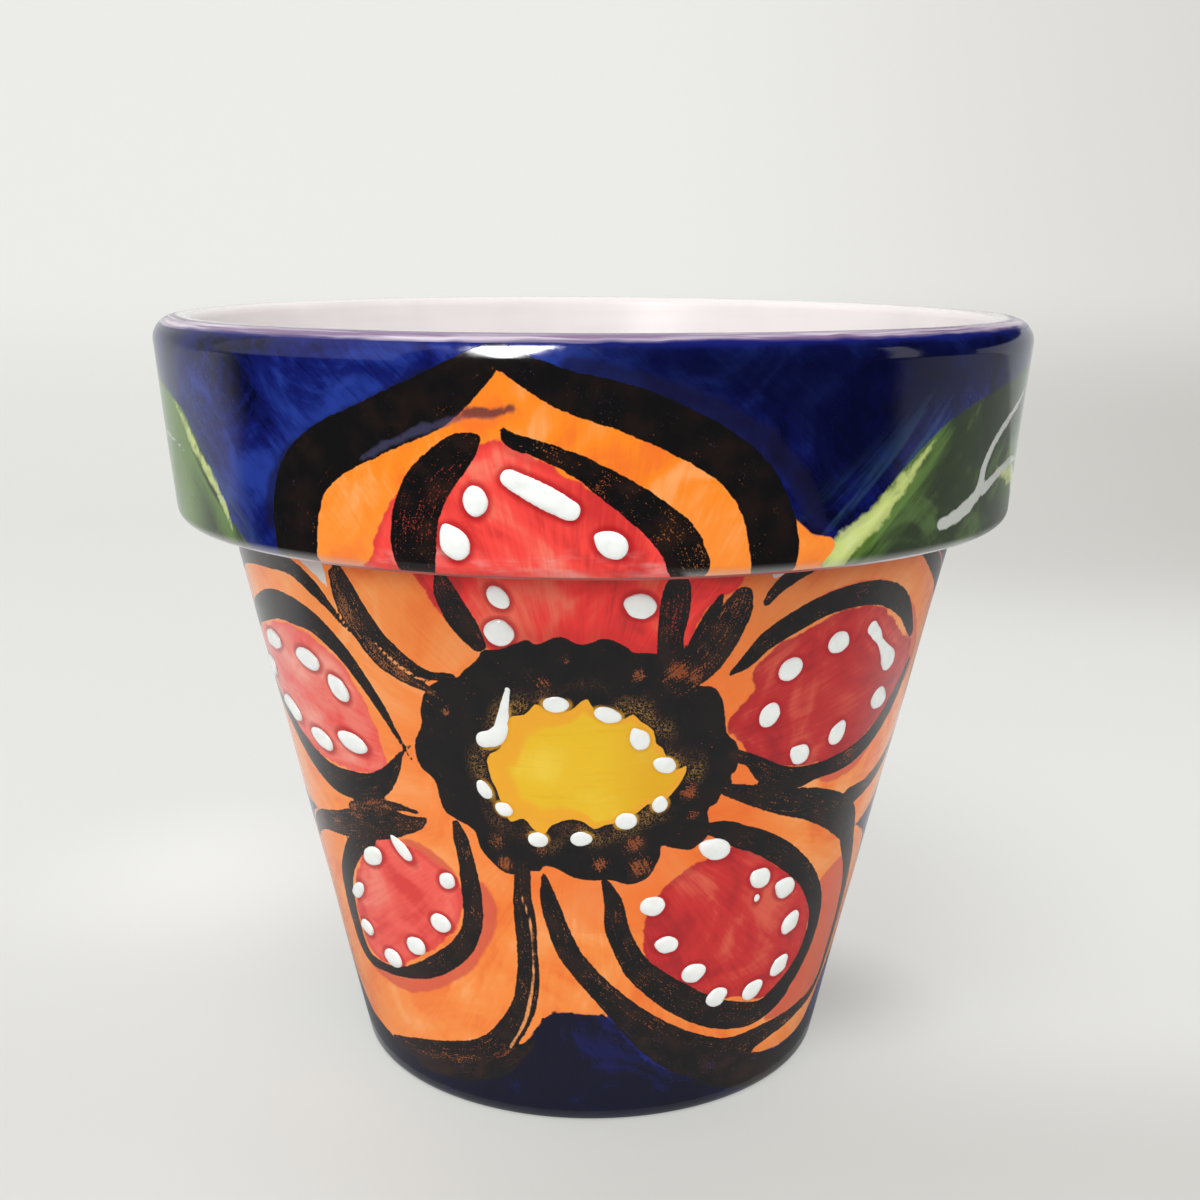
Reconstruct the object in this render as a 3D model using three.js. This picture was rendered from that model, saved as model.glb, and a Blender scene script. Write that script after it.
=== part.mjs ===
// A hand-painted talavera flower pot: a thrown clay body under coats of coloured glaze.
// Millimetres, +Z up. The origin is the middle of the flat foot that the pot stands on.
import * as THREE from 'three';

// Driving dimensions. Radii and heights are those of the glazed pot, and the radii of the collar
// are those of its two sides drawn on to the corners, before its edges are rounded.
const potHeight = 141;
const baseRadius = 44.4;
const wallTopRadius = 68.2;
const collarHeight = 36;
const collarOverhang = 8.8;
const collarFlare = 3.4;
const lipWidth = 7.2;
const wallThickness = 6.5;
const floorThickness = 8.5;
const drainRadius = 7;
const coatThickness = 0.5;

// Roundings of the edges.
const footRounding = 3;
const collarEdgeRounding = 2.6;
const collarCoveRounding = 1.2;
const outerLipRounding = 4;
const innerLipRounding = 2.6;
const shoulderRounding = 45;
const floorRounding = 7;
const drainRounding = 1.5;

// How finely the round forms are cut.
const turnSteps = 60;
const edgeSteps = 4;
const shoulderSteps = 6;
const bareFootSteps = 2;

// Radii and heights that follow from the driving dimensions.
const collarFootRadius = wallTopRadius + collarOverhang;
const rimRadius = collarFootRadius + collarFlare;
const mouthRadius = rimRadius - lipWidth;
const collarUnderside = potHeight - collarHeight;
const clayFloorTop = floorThickness - coatThickness;
const innerWallTopRadius = wallTopRadius - wallThickness;
const wallSlope = (wallTopRadius - baseRadius) / collarUnderside;
const innerFloorRadius = innerWallTopRadius - wallSlope * (collarUnderside - floorThickness);

const point = (radius, height) => new THREE.Vector2(radius, height);

// Replaces the corner between two straight lines with an arc.
function roundedCorner(before, corner, after, rounding, steps) {
  const toBefore = before.clone().sub(corner).normalize();
  const toAfter = after.clone().sub(corner).normalize();
  const halfAngle = Math.acos(toBefore.dot(toAfter)) / 2;
  const bisector = toBefore.clone().add(toAfter).normalize();
  const centre = corner.clone().addScaledVector(bisector, rounding / Math.sin(halfAngle));
  const reach = rounding / Math.tan(halfAngle);
  const startAngle = corner.clone().addScaledVector(toBefore, reach).sub(centre).angle();
  const endAngle = corner.clone().addScaledVector(toAfter, reach).sub(centre).angle();
  const wholeTurn = 2 * Math.PI;
  const sweep = THREE.MathUtils.euclideanModulo(endAngle - startAngle + Math.PI, wholeTurn) - Math.PI;
  return Array.from({ length: steps + 1 }, (_, step) => {
    const angle = startAngle + (sweep * step) / steps;
    return point(centre.x + rounding * Math.cos(angle), centre.y + rounding * Math.sin(angle));
  });
}

// The corners of the glazed surface, from the foot up the outside, over the lip and down the inside.
const underMiddle = point(0, -coatThickness);
const footCorner = point(baseRadius - wallSlope * coatThickness, -coatThickness);
const coveCorner = point(wallTopRadius, collarUnderside);
const collarEdgeCorner = point(collarFootRadius, collarUnderside);
const outerLipCorner = point(rimRadius, potHeight);
const innerLipCorner = point(mouthRadius, potHeight);
const shoulderCorner = point(innerWallTopRadius, collarUnderside);
const floorCorner = point(innerFloorRadius, floorThickness);
const drainCorner = point(drainRadius, floorThickness);
const drainMiddle = point(drainRadius, floorThickness / 2);

const footArc = roundedCorner(underMiddle, footCorner, coveCorner, footRounding, edgeSteps);
const coveArc = roundedCorner(footCorner, coveCorner, collarEdgeCorner, collarCoveRounding, 2);
const collarEdgeArc = roundedCorner(coveCorner, collarEdgeCorner, outerLipCorner, collarEdgeRounding, edgeSteps);
const outerLipArc = roundedCorner(collarEdgeCorner, outerLipCorner, innerLipCorner, outerLipRounding, edgeSteps);
const innerLipArc = roundedCorner(outerLipCorner, innerLipCorner, shoulderCorner, innerLipRounding, edgeSteps);
const shoulderArc = roundedCorner(innerLipCorner, shoulderCorner, floorCorner, shoulderRounding, shoulderSteps);
const floorArc = roundedCorner(shoulderCorner, floorCorner, drainCorner, floorRounding, edgeSteps);
const drainArc = roundedCorner(floorCorner, drainCorner, drainMiddle, drainRounding, 2);

// The height on the outside where the wall was set on the base, a touch below the clay floor's top
// because the coat stands out square to the leaning wall.
const wallLean = Math.atan(wallSlope);
const seamHeight = clayFloorTop - coatThickness * Math.sin(wallLean);
const seamPoint = point(baseRadius + wallSlope * seamHeight, seamHeight);

// Each station is a point of the glazed surface and the point of clay straight under it.
function stationsUnderCoat(surface) {
  const edgeNormals = surface.slice(1).map((next, i) => {
    const along = next.clone().sub(surface[i]).normalize();
    return point(along.y, -along.x);
  });
  return surface.map((glaze, i) => {
    const before = edgeNormals[Math.max(i - 1, 0)];
    const after = edgeNormals[Math.min(i, edgeNormals.length - 1)];
    const between = before.clone().add(after).normalize();
    return { glaze, clay: glaze.clone().addScaledVector(between, -coatThickness / between.dot(after)) };
  });
}

// The surface in order, cut into the stretches that each coat covers.
const halfEdge = edgeSteps / 2;
const stretches = {
  foot: footArc.slice(0, bareFootSteps),
  lowWall: [...footArc.slice(bareFootSteps), seamPoint],
  wall: coveArc.slice(0, 2),
  step: [coveArc[2], ...collarEdgeArc.slice(0, halfEdge)],
  collar: [...collarEdgeArc.slice(halfEdge), ...outerLipArc.slice(0, halfEdge)],
  lip: [...outerLipArc.slice(halfEdge), ...innerLipArc.slice(0, halfEdge)],
  mouth: innerLipArc.slice(halfEdge),
  lining: [...shoulderArc, ...floorArc],
  drain: drainArc,
};
const surface = Object.values(stretches).flat();
const stations = stationsUnderCoat([underMiddle, ...surface, drainMiddle]).slice(1, -1);

// The number of the first station of each stretch.
const starts = {};
let stationCount = 0;
for (const [name, points] of Object.entries(stretches)) {
  starts[name] = stationCount;
  stationCount += points.length;
}
const lastOf = (name) => starts[name] + stretches[name].length - 1;

const glazeBetween = (from, to) => stations.slice(from, to + 1).map((station) => station.glaze);
const clayBetween = (from, to) => stations.slice(from, to + 1).map((station) => station.clay);

// Turns a closed outline of radius and height round the Z axis, faces outwards.
function turned(name, outline, material) {
  const closed = [...outline, outline[0]];
  const doubleArea = closed.slice(1).reduce((sum, next, i) => sum + closed[i].cross(next), 0);
  const geometry = new THREE.LatheGeometry(doubleArea > 0 ? closed : closed.reverse(), turnSteps);
  const mesh = new THREE.Mesh(geometry.rotateX(Math.PI / 2), material);
  mesh.name = name;
  return mesh;
}

// A coat of glaze between two stations, lying on the clay under it.
function coat(name, from, to, material) {
  return turned(name, [...glazeBetween(from, to), ...clayBetween(from, to).reverse()], material);
}

const finish = (color, roughness) => new THREE.MeshStandardMaterial({ color, roughness, metalness: 0 });
const bareClay = finish('#c98f6c', 0.9);
const liningWhite = finish('#e6dedb', 0.25);
const stepWhite = finish('#c9c6d2', 0.25);
const lipLilac = finish('#8a86b8', 0.22);
const collarBlue = finish('#1c2a6e', 0.18);
const wallOrange = finish('#cf6a1c', 0.18);

// The clay body: a round base with its drainage hole, the wall set on it, and the collar laid round the top.
const seamStation = lastOf('lowWall');
const wallTop = starts.wall;
const lipTop = starts.lip + halfEdge;
const floorEnd = lastOf('lining');
const drainEnd = lastOf('drain');
const drainBore = stations[drainEnd].clay;

const baseClay = turned('base_clay', [
  point(drainBore.x, 0),
  ...clayBetween(starts.foot, seamStation),
  ...clayBetween(floorEnd, drainEnd),
], bareClay);

const wallClay = turned('wall_clay', [
  ...clayBetween(seamStation, wallTop),
  ...clayBetween(lipTop, floorEnd),
], bareClay);

const collarClay = turned('collar_clay', clayBetween(wallTop, lipTop), bareClay);

// The coats of glaze, from the foot up and over the lip. Each starts where the one before it ends.
const pot = new THREE.Group();
pot.add(
  baseClay,
  wallClay,
  collarClay,
  coat('wall_glaze', starts.lowWall, lastOf('wall'), wallOrange),
  coat('step_glaze', lastOf('wall'), starts.collar, stepWhite),
  coat('collar_glaze', starts.collar, starts.lip, collarBlue),
  coat('lip_glaze', starts.lip, starts.mouth, lipLilac),
  coat('lining_glaze', starts.mouth, drainEnd, liningWhite),
);

export default pot;
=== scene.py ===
"""A hand-painted talavera flower pot: glazes, painting and raised dots on the packed clay body."""

import math

import bpy
import numpy as np
from bpy.props import FloatProperty, FloatVectorProperty, IntProperty, PointerProperty
from mathutils import Matrix, Vector


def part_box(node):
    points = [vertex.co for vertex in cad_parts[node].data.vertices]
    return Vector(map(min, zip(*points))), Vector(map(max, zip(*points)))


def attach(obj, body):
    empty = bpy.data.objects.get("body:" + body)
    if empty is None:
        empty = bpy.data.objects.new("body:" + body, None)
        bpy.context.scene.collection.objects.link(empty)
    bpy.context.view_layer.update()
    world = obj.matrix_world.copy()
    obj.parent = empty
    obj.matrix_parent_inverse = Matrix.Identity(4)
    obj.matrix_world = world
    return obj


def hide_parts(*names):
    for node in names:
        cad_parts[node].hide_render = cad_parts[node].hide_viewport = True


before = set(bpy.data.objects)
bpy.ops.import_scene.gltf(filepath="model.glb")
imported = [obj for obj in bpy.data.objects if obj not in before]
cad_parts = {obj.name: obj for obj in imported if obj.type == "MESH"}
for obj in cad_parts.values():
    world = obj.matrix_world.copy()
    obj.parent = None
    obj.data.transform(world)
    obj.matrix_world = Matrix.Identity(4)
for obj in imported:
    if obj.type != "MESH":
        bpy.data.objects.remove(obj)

bl_info = {
    "name": "Talavera flower pot",
    "version": (1, 0, 0),
    "blender": (4, 5, 0),
    "location": "3D View > Sidebar > Flower Pot",
    "description": "Glazes and paints a terracotta flower pot with a folk flower",
    "category": "Object",
}

MILLIMETRE = 0.001

# The painting. Places are degrees round from the front and heights in millimetres.
# A stroke also has its half width in millimetres at each place along its middle.
WALL_PETALS = {
    "upper left": (
        (-38, 101), (-46, 104.5), (-56, 104.3), (-66, 102.8), (-75, 99.5), (-82, 93), (-85, 84), (-84, 74),
        (-80, 65), (-76, 57), (-70, 52.5), (-60, 52), (-50, 53.5), (-40, 56), (-34, 58.5), (-29, 62),
        (-27, 72), (-28, 82), (-31, 92),
    ),
    "upper right": (
        (24, 97), (25.5, 103.5), (33, 105.5), (45, 105.8), (57, 104.2), (66, 100.5), (75, 95), (82, 87),
        (85, 78), (83, 69), (79, 61), (73, 55), (64, 51), (55, 50), (44, 52), (34, 56), (28, 59), (22, 66),
        (21, 78), (22, 90),
    ),
    "lower left": (
        (-22, 60), (-30, 60.5), (-40, 59), (-50, 56), (-60, 53), (-68, 50), (-74, 44), (-76, 36), (-75, 26),
        (-71, 17), (-64, 10.5), (-58, 9), (-50, 7.5), (-38, 8), (-28, 9.5), (-20, 12), (-14, 16), (-11, 21),
        (-9, 30), (-9, 42), (-10, 52), (-14, 58),
    ),
    "lower right": (
        (20, 60), (30, 58.5), (40, 56), (50, 53), (60, 50), (68, 46), (73, 39), (74.5, 30), (72, 22.5),
        (67, 18), (62, 11), (58, 8.5), (50, 7.6), (40, 8.6), (33, 11), (24, 14), (14, 19), (6, 24), (0, 30),
        (-4, 37), (-7, 46), (-7, 51), (0, 54), (10, 57),
    ),
    "top": (
        (-40, 112), (-40, 99), (-37, 95), (-33, 89), (-27, 84.5), (-22, 85), (-10, 92), (5, 92), (16, 85),
        (20, 86), (24, 93), (24.5, 100), (23.8, 112),
    ),
    "middle": (
        (-34, 60), (-33, 74), (-28, 88), (-15, 93), (0, 94), (14, 92), (24, 88), (26, 76), (30, 66), (36, 60),
        (30, 55), (18, 54), (4, 49), (-12, 48), (-22, 52), (-31, 56),
    ),
    "fork": ((-13, 52), (-12, 22), (-10, 21), (-7, 23.4), (0, 23.2), (4, 23.5), (-3, 35), (-7, 51)),
}
WALL_HEARTS = {
    "top": (
        (-24.5, 112), (-23.8, 103.4), (-22.6, 101), (-21, 98), (-19.5, 95.5), (-16, 93), (-14.8, 91.5),
        (-8, 91), (0, 91), (13.5, 90.8), (14.4, 95.5), (16.6, 99.6), (19.6, 101.4), (20.6, 104), (20, 112),
    ),
    "upper left": (
        (-35, 67.5), (-35, 72), (-36.5, 78), (-39.5, 85), (-44, 88), (-50, 89.8), (-57, 89.5), (-64, 87.3),
        (-70, 84.8), (-75, 81.5), (-77, 78.5), (-75, 75.8), (-70, 73.6), (-64, 70), (-57, 66.5), (-50, 65),
        (-42, 65.2), (-37, 66),
    ),
    "upper right": (
        (23.6, 87), (24.5, 84), (22.5, 81), (20.8, 77.2), (23.6, 74.3), (25.5, 71.1), (31.8, 69),
        (37.3, 67.9), (41.8, 67.7), (47.7, 68.4), (52.3, 70), (56.4, 72.2), (59, 74.3), (62.3, 77),
        (64, 79.7), (63.6, 83.4), (62.3, 85.6), (58.6, 87), (55.5, 88.8), (52.3, 91.5), (48.6, 94),
        (44.5, 95.4), (39.5, 95.4), (34.5, 94.3), (29.5, 92), (25.5, 89.7),
    ),
    "lower left": (
        (-37.6, 55.6), (-34.6, 53.2), (-31, 52.4), (-27.4, 50.4), (-24, 48.4), (-23.4, 43.8), (-24.5, 40.2),
        (-27.3, 36.5), (-30.9, 33.4), (-35, 30.6), (-40, 27.9), (-42.7, 26.3), (-47.3, 25.4), (-51.8, 25.6),
        (-54.3, 27.5), (-55.2, 31.1), (-55.2, 34.7), (-53.6, 38.4), (-51.4, 42.5), (-48.6, 46.1), (-45, 49.7),
        (-42, 52.3), (-39.6, 54.6),
    ),
    "lower right": (
        (19, 52.8), (15, 50.8), (12.5, 47.5), (10.3, 44.5), (9.8, 40.5), (10, 37), (11, 34), (13.5, 31),
        (17, 28.5), (23, 25.3), (27, 23.8), (31.5, 23), (35, 21.8), (39, 21), (42.5, 21.3), (45.5, 23),
        (48, 25.5), (49, 29), (48.8, 34), (48, 37.5), (45.5, 41.5), (42, 44.5), (38, 47.5), (34, 50.5),
        (30, 53.3), (25, 54.5), (22, 54),
    ),
}
WALL_HALOS = {
    "lower left": (
        (-19.5, 48.8), (-17, 44.7), (-17.7, 39.3), (-20, 34.7), (-23.6, 30.2), (-29.1, 26.1), (-35, 23.4),
        (-40.5, 21.3), (-45.9, 20.9), (-50.9, 21.5), (-54.5, 22.7), (-50, 24.5), (-40, 26), (-32, 29.5),
        (-25, 34.5), (-21.5, 41),
    ),
    "lower left top": (
        (-36, 54.4), (-31, 54), (-27.2, 52.2), (-24.4, 49.9), (-24, 48.2), (-28, 50), (-33, 52.6),
    ),
    "upper right": (
        (29.5, 96.4), (33.6, 98.8), (38.2, 100), (41.8, 100.2), (46.4, 99.5), (50.9, 97.5), (55.5, 94.7),
        (60, 91.5), (64.5, 87), (67.5, 82), (66, 77), (62, 79), (60.5, 85), (56.5, 90), (50, 95), (43, 97.5),
        (36, 97),
    ),
    "under right": ((41.4, 64.5), (44.5, 62.9), (50, 63.4), (53.6, 65.2), (56.5, 68.5), (50, 67), (44, 66)),
    "lower right": (
        (52, 44), (58, 45), (63, 41), (65.5, 34), (65, 26), (62, 18.5), (57, 14.6), (48, 14.4), (41, 16),
        (46, 19), (49.5, 23), (51, 28), (51, 35), (49, 41),
    ),
}
WALL_EYE = (
    (-11.6, 80.2), (-9.5, 80.6), (-7.7, 82.7), (-6.4, 81.6), (-3.2, 81.5), (-1.9, 82.6), (-0.4, 83.7),
    (0.7, 81.5), (3, 80.4), (5, 80.2), (6.1, 81.0), (7.3, 79.7), (9.3, 77.9), (9.8, 75.6), (10.9, 74.7),
    (12, 71.8), (13.2, 70.6), (14.8, 71.3), (14.8, 69.7), (13.9, 67.9), (12.7, 66.1), (11, 64.6), (9.1, 64.7),
    (7.5, 63.1), (4.1, 61.3), (2.3, 60.9), (0.7, 60.2), (-0.9, 61.5), (-3, 62), (-5.5, 61.1), (-6.6, 60.2),
    (-7.5, 58.8), (-8.4, 59.3), (-9.3, 60), (-10, 61.1), (-10.9, 61.8), (-12.3, 61.1), (-13.2, 61.3),
    (-14.3, 65), (-14.8, 67), (-15.5, 68.8), (-15.9, 72), (-15, 73.4), (-13.6, 74.3), (-13.2, 75.6),
    (-12.3, 77.9),
)
WALL_RING = (
    (-15, 91.3), (-12.3, 91.8), (-8.9, 93.5), (-7.2, 92.8), (-4.1, 94.2), (-1, 92.9), (2, 94), (5, 92.5),
    (5.9, 91.6), (9.3, 91.2), (12.3, 90.3), (15, 88), (15.5, 85.5), (17.7, 85), (19.3, 82.9), (20.2, 79.7),
    (20.9, 76.5), (22.7, 74.5), (23.6, 72), (23.2, 69.3), (22.5, 68.6), (23, 66.8), (21.4, 65.6),
    (20.7, 63.8), (19.3, 62.9), (19.5, 61.1), (20, 58.1), (18.2, 56.1), (16.4, 55.4), (13.2, 56.3),
    (11.8, 56.5), (11.8, 54.7), (11.1, 52.9), (9.8, 50.6), (6.8, 49.6), (4.5, 50.2), (3, 50.5), (-0.5, 50.5),
    (-3.2, 51.2), (-5.5, 52.5), (-7.7, 53), (-8.4, 52), (-10.5, 51.8), (-12.7, 50.9), (-15, 51.3),
    (-16.8, 52.9), (-18.6, 55.2), (-19.1, 57.9), (-20, 59), (-22.5, 60.2), (-24.3, 61.3), (-25, 63.4),
    (-25.4, 67), (-27.5, 68.8), (-28.3, 71.5), (-27.7, 74.3), (-26.1, 77.2), (-26, 79.7), (-25, 82.7),
    (-22.7, 85.2), (-19.3, 86.3), (-18.2, 87.5), (-15.9, 89.7),
)
WALL_NAVY = (
    (-63, 9.5), (-56, 8.3), (-47, 7), (-38, 7), (-28, 8), (-20, 11), (-14, 14), (-11.5, 17.5), (-10.5, 20.5),
    (-8, 22.8), (-5, 23.4), (0, 23.2), (3, 23.4), (6, 20), (12, 13), (20, 9.5), (30, 8), (40, 7), (50, 7),
    (58, 8), (66, 9), (75, 8), (75, -3), (-75, -3), (-75, 8),
)
WALL_BARE = {
    "left": ((-47.4, 105.1), (-39.9, 105.2), (-39.7, 98.8), (-41.6, 100.4), (-44.6, 102.4)),
    "right": ((24, 104.6), (29, 104.8), (26.6, 103.2), (25, 102.5)),
}
# Brush strokes: dryness, then (degrees, height, half width) along the middle of the stroke.
WALL_STROKES = {
    "top heart left": (0.35, (
        (-19.9, 102.9, 1.2), (-19.5, 100.5, 2.0), (-18.4, 97.5, 2.3), (-17, 94.9, 2.1), (-15.6, 92.4, 1.4),
    )),
    "top heart right": (0.3, (
        (11.5, 104.4, 0.8), (11.4, 101.6, 2.2), (11.2, 97.9, 2.4), (10.9, 93.8, 2.1), (11.2, 90.8, 2.2),
    )),
    "top petal right": (0.45, (
        (20.6, 100, 1.8), (20, 97.6, 2.7), (18.3, 93.6, 3.1), (16.2, 89.8, 3.1), (12.8, 86.6, 2.8),
    )),
    "top petal right split": (0.35, (
        (17.5, 100.3, 0.5), (16.2, 97, 1.1), (14.8, 93.6, 1.1), (13.6, 91.2, 0.5),
    )),
    "top petal left upper": (0.4, (
        (-37, 103, 0.9), (-36.4, 99.6, 2.1), (-34.6, 95.5, 2.2), (-31.8, 91.5, 1.8), (-28.2, 88.3, 1.4),
        (-24.3, 86.2, 0.9), (-20, 86.2, 0.7),
    )),
    "top petal left lower": (0.7, (
        (-38.2, 101.4, 0.9), (-37.4, 96.5, 1.6), (-35, 92, 1.7), (-32.2, 88.3, 1.7), (-28.8, 85.7, 1.3),
        (-25, 84, 0.8), (-23.3, 83, 0.4),
    )),
    "left petal crest": (0.25, (
        (-35, 90.4, 0.15), (-38.2, 92.9, 0.4), (-40.5, 95.6, 0.9), (-43, 98, 1.5), (-46.2, 100.3, 1.7),
        (-49.8, 101.4, 1.7), (-54.1, 101.3, 1.8), (-58.6, 101.1, 1.9), (-64.5, 100.2, 1.8), (-70, 98.8, 1.8),
        (-76, 95.5, 1.7), (-81, 90, 1.5), (-83.5, 83, 1.2),
    )),
    "left heart top": (0.2, (
        (-29.3, 70.2, 0.2), (-30.5, 72.5, 0.35), (-31.8, 75.2, 0.6), (-33.6, 78.8, 1), (-36.4, 83.4, 1.3),
        (-39.1, 87, 1.6), (-42.7, 90.2, 2), (-46.4, 92.2, 2.3), (-50.9, 92.9, 2.8), (-55.5, 92.9, 2.8),
        (-60, 91.8, 2.7), (-64.5, 90.2, 2.5), (-68.6, 88.8, 2.3), (-74, 85.8, 2), (-78, 82.2, 1.8),
        (-80.5, 78.6, 1.5),
    )),
    "left heart under": (0.3, (
        (-28.9, 72.9, 0.25), (-31.4, 70.6, 0.45), (-33.4, 67.6, 1.3), (-36.4, 64.6, 2.1), (-40, 62.7, 2.6),
        (-44.5, 62, 2.8), (-49.5, 61.7, 2.9), (-54.1, 62.8, 2.7), (-58.6, 64.9, 2.4), (-62.7, 67.4, 2),
        (-66.4, 69.9, 1.8), (-71, 72, 1.7), (-76, 74, 1.6), (-80, 77.5, 1.4),
    )),
    "left petals ragged": (0.6, (
        (-30, 60.1, 0.3), (-33.6, 60.3, 0.7), (-38, 59.6, 1.3), (-43, 58.2, 1.4), (-47, 57.2, 0.8),
    )),
    "lower left band": (0.45, (
        (-28.4, 59.2, 0.3), (-30.5, 57.9, 1.3), (-33.6, 57.1, 2), (-37.3, 56.1, 2.6), (-40.9, 55.2, 2.9),
        (-45.5, 54.2, 3), (-50, 52.9, 2.7), (-55, 51.8, 2.3), (-61, 50.4, 2), (-66.4, 48.2, 1.7),
        (-70, 45.5, 1.2),
    )),
    "lower left heart": (0.3, (
        (-22.6, 59.3, 0.7), (-22.1, 56.5, 1.4), (-21.6, 52.9, 1.5), (-21.4, 48.4, 1.8), (-21.4, 44.3, 1.9),
        (-21.8, 40.6, 1.8), (-23.2, 37, 1.9), (-25.7, 33.8, 2), (-29.1, 31.1, 2.1), (-32.7, 28.8, 2),
        (-36.4, 27, 1.7), (-40, 25.7, 1.3), (-44.5, 24.5, 1.0), (-49.5, 24, 1), (-54.5, 24, 1.4),
        (-57.4, 26.2, 1.9), (-58.2, 30.2, 2), (-58, 34.7, 2.1), (-56.4, 40.2, 2.1), (-53.8, 43.8, 2),
        (-50.9, 47, 2.1), (-47.3, 50, 2.1), (-44, 52.2, 2.2),
    )),
    "lower left outer": (0.3, (
        (-11.4, 52.5, 1.2), (-11.5, 50.6, 1.4), (-11.8, 46.5, 1.6), (-11.6, 41.5, 1.9), (-11.6, 36.5, 1.8),
        (-11.8, 31, 2), (-12.6, 26, 2.1), (-14.3, 22, 2.3), (-16.8, 18.4, 2.5), (-20, 15.2, 2.6),
        (-24.1, 12.9, 2.6), (-29.1, 11.5, 2.5), (-34.5, 10.4, 2.3), (-40.5, 9.2, 2.2), (-46.4, 8.1, 1.8),
        (-52, 7.6, 1.0),
    )),
    "lower left under": (0.5, (
        (-12, 16.4, 0.8), (-15.5, 13.8, 1.6), (-20, 11, 2.6), (-26, 9, 2.8), (-34, 7.6, 2.6), (-42, 6.4, 2),
    )),
    "lower right inner": (0.3, (
        (2.4, 50.4, 0.5), (3.2, 48.8, 1), (4.2, 45.5, 1.6), (4.9, 41, 2), (6.6, 36.7, 2.1), (9, 32.7, 2.4),
        (12.5, 29.4, 2.7), (17, 26, 3), (22, 22.9, 3), (27, 20.6, 3), (32, 19.1, 2.9), (37, 18.3, 2.6),
        (41.5, 19, 2.4), (45, 20.5, 2.2),
    )),
    "lower right heart": (0.2, (
        (19.4, 59.2, 1.1), (23, 58.2, 1.9), (26, 56.6, 2.2), (30, 54.9, 2.2), (35, 51.9, 2.3),
        (40, 48.3, 2.2), (44, 44.9, 2.1), (47.5, 41, 2.1), (50.2, 37, 2), (51.2, 33, 2), (50.8, 28.5, 2),
        (48.5, 24.5, 2.1), (45, 21.5, 2.3), (41.5, 19.6, 2.2),
    )),
    "lower right outer": (0.35, (
        (-7.8, 51, 0.5), (-7, 46, 1.5), (-5.7, 41, 1.8), (-3.8, 36, 2), (-1, 32, 2), (3, 27.5, 2.2),
        (7, 23.5, 2.6), (12, 19, 3.4), (17, 15.5, 4), (22, 12.8, 4.4), (27, 11.2, 4.2), (32, 10.8, 3.8),
        (38, 12, 2.7), (44, 12.9, 2), (50, 13.4, 1.7), (55, 14.1, 1.4), (60, 15, 1.2), (64, 18, 1.2),
        (65.5, 24, 1.4), (65.3, 31, 1.5), (63, 39, 1.7), (60, 44.5, 2.2), (56.5, 49.5, 2.6),
    )),
    "lower right under": (0.4, (
        (20, 12, 1.5), (26, 9.5, 3), (32, 7, 3.6), (38, 5.5, 3.8), (45, 4.2, 3.5), (52, 3.8, 3), (60, 4, 2.4),
        (66, 6, 1.5),
    )),
    "right petal under": (0.3, (
        (21.6, 66.3, 1.0), (25, 65, 1.6), (30, 63.2, 2.2), (35, 61.4, 2.6), (40, 60, 3), (45, 58, 3.3),
        (50, 55.4, 3.5), (54.5, 52.4, 3.3), (57, 49.6, 2.6),
    )),
    "right petal ear": (0.3, (
        (52, 58, 2), (58, 58.2, 1.8), (64, 59.8, 1.7), (70, 62.5, 1.6), (76, 66.5, 1.5), (80.5, 72, 1.4),
        (82.5, 79, 1.4), (81, 86, 1.5),
    )),
    "right heart top": (0.2, (
        (20.2, 87, 0.4), (22.5, 88.8, 1.2), (25, 91.8, 1.7), (28.2, 94, 2), (31.8, 95.9, 2.1),
        (35.5, 97.2, 2.1), (39.5, 97.7, 2.2), (43.6, 97.7, 2.2), (47.7, 96.8, 2.2), (51.8, 95, 2.2),
        (55.5, 92.5, 1.9), (58.6, 89.5, 1.5), (61.4, 86.8, 0.9),
    )),
    "right heart under": (0.3, (
        (22.4, 72.4, 1.2), (25.9, 70.8, 1.2), (28.2, 68.8, 1.9), (31.4, 66.8, 2.3), (35.5, 65.8, 2.2),
        (40, 66.1, 1.7), (44.5, 66.3, 1.8), (49.1, 66.9, 2), (53.2, 68.3, 2), (57.3, 70.7, 2),
        (60.9, 74.1, 2), (63.6, 77.9, 1.6), (65, 80.6, 0.9),
    )),
    "right petal crest": (0.25, (
        (24.4, 98.8, 0.7), (25.9, 101.1, 1.2), (28.2, 102.9, 1.3), (31.4, 104, 0.9), (36, 104.8, 0.6),
        (44, 105.3, 0.5), (52, 104.2, 0.7), (57.7, 102.4, 1.2), (62.3, 100, 1.8), (66.8, 97.6, 2),
        (72, 94, 1.9), (77, 90, 1.7),
    )),
}
WALL_SPLITS = {
    "lower left": (
        (-11.9, 46.8, 0.15), (-10.6, 41, 0.22), (-10.5, 35, 0.16), (-10.9, 30, 0.2), (-11.7, 26, 0.28),
        (-12.9, 21.8, 0.3), (-14.9, 18, 0.2), (-17, 14.9, 0.25),
    ),
    "top left": ((-33.4, 91.5, 0.1), (-31, 89.1, 0.3), (-28.4, 86.9, 0.35), (-25.5, 85.2, 0.25)),
    "drip": ((-2.6, 43.2, 0.15), (-2.7, 41.8, 0.35), (-2.5, 39.6, 0.2)),
}
COLLAR_PETALS = {
    "tip": (
        (-9.9, 136.6), (-8, 134.8), (-4.6, 132), (0, 130), (6.6, 127.4), (12.8, 123.4), (17.4, 118.4),
        (20.4, 115.6), (22.8, 114), (25, 111.5), (27.8, 110.4), (28.3, 108.8), (26.8, 106), (26.5, 101),
        (-34.8, 101), (-34.6, 108), (-33.3, 114.8), (-30.8, 119.6), (-26.6, 123.4), (-21, 127.4), (-17, 130),
        (-14.2, 132), (-12.6, 134), (-11, 136),
    ),
}
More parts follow.
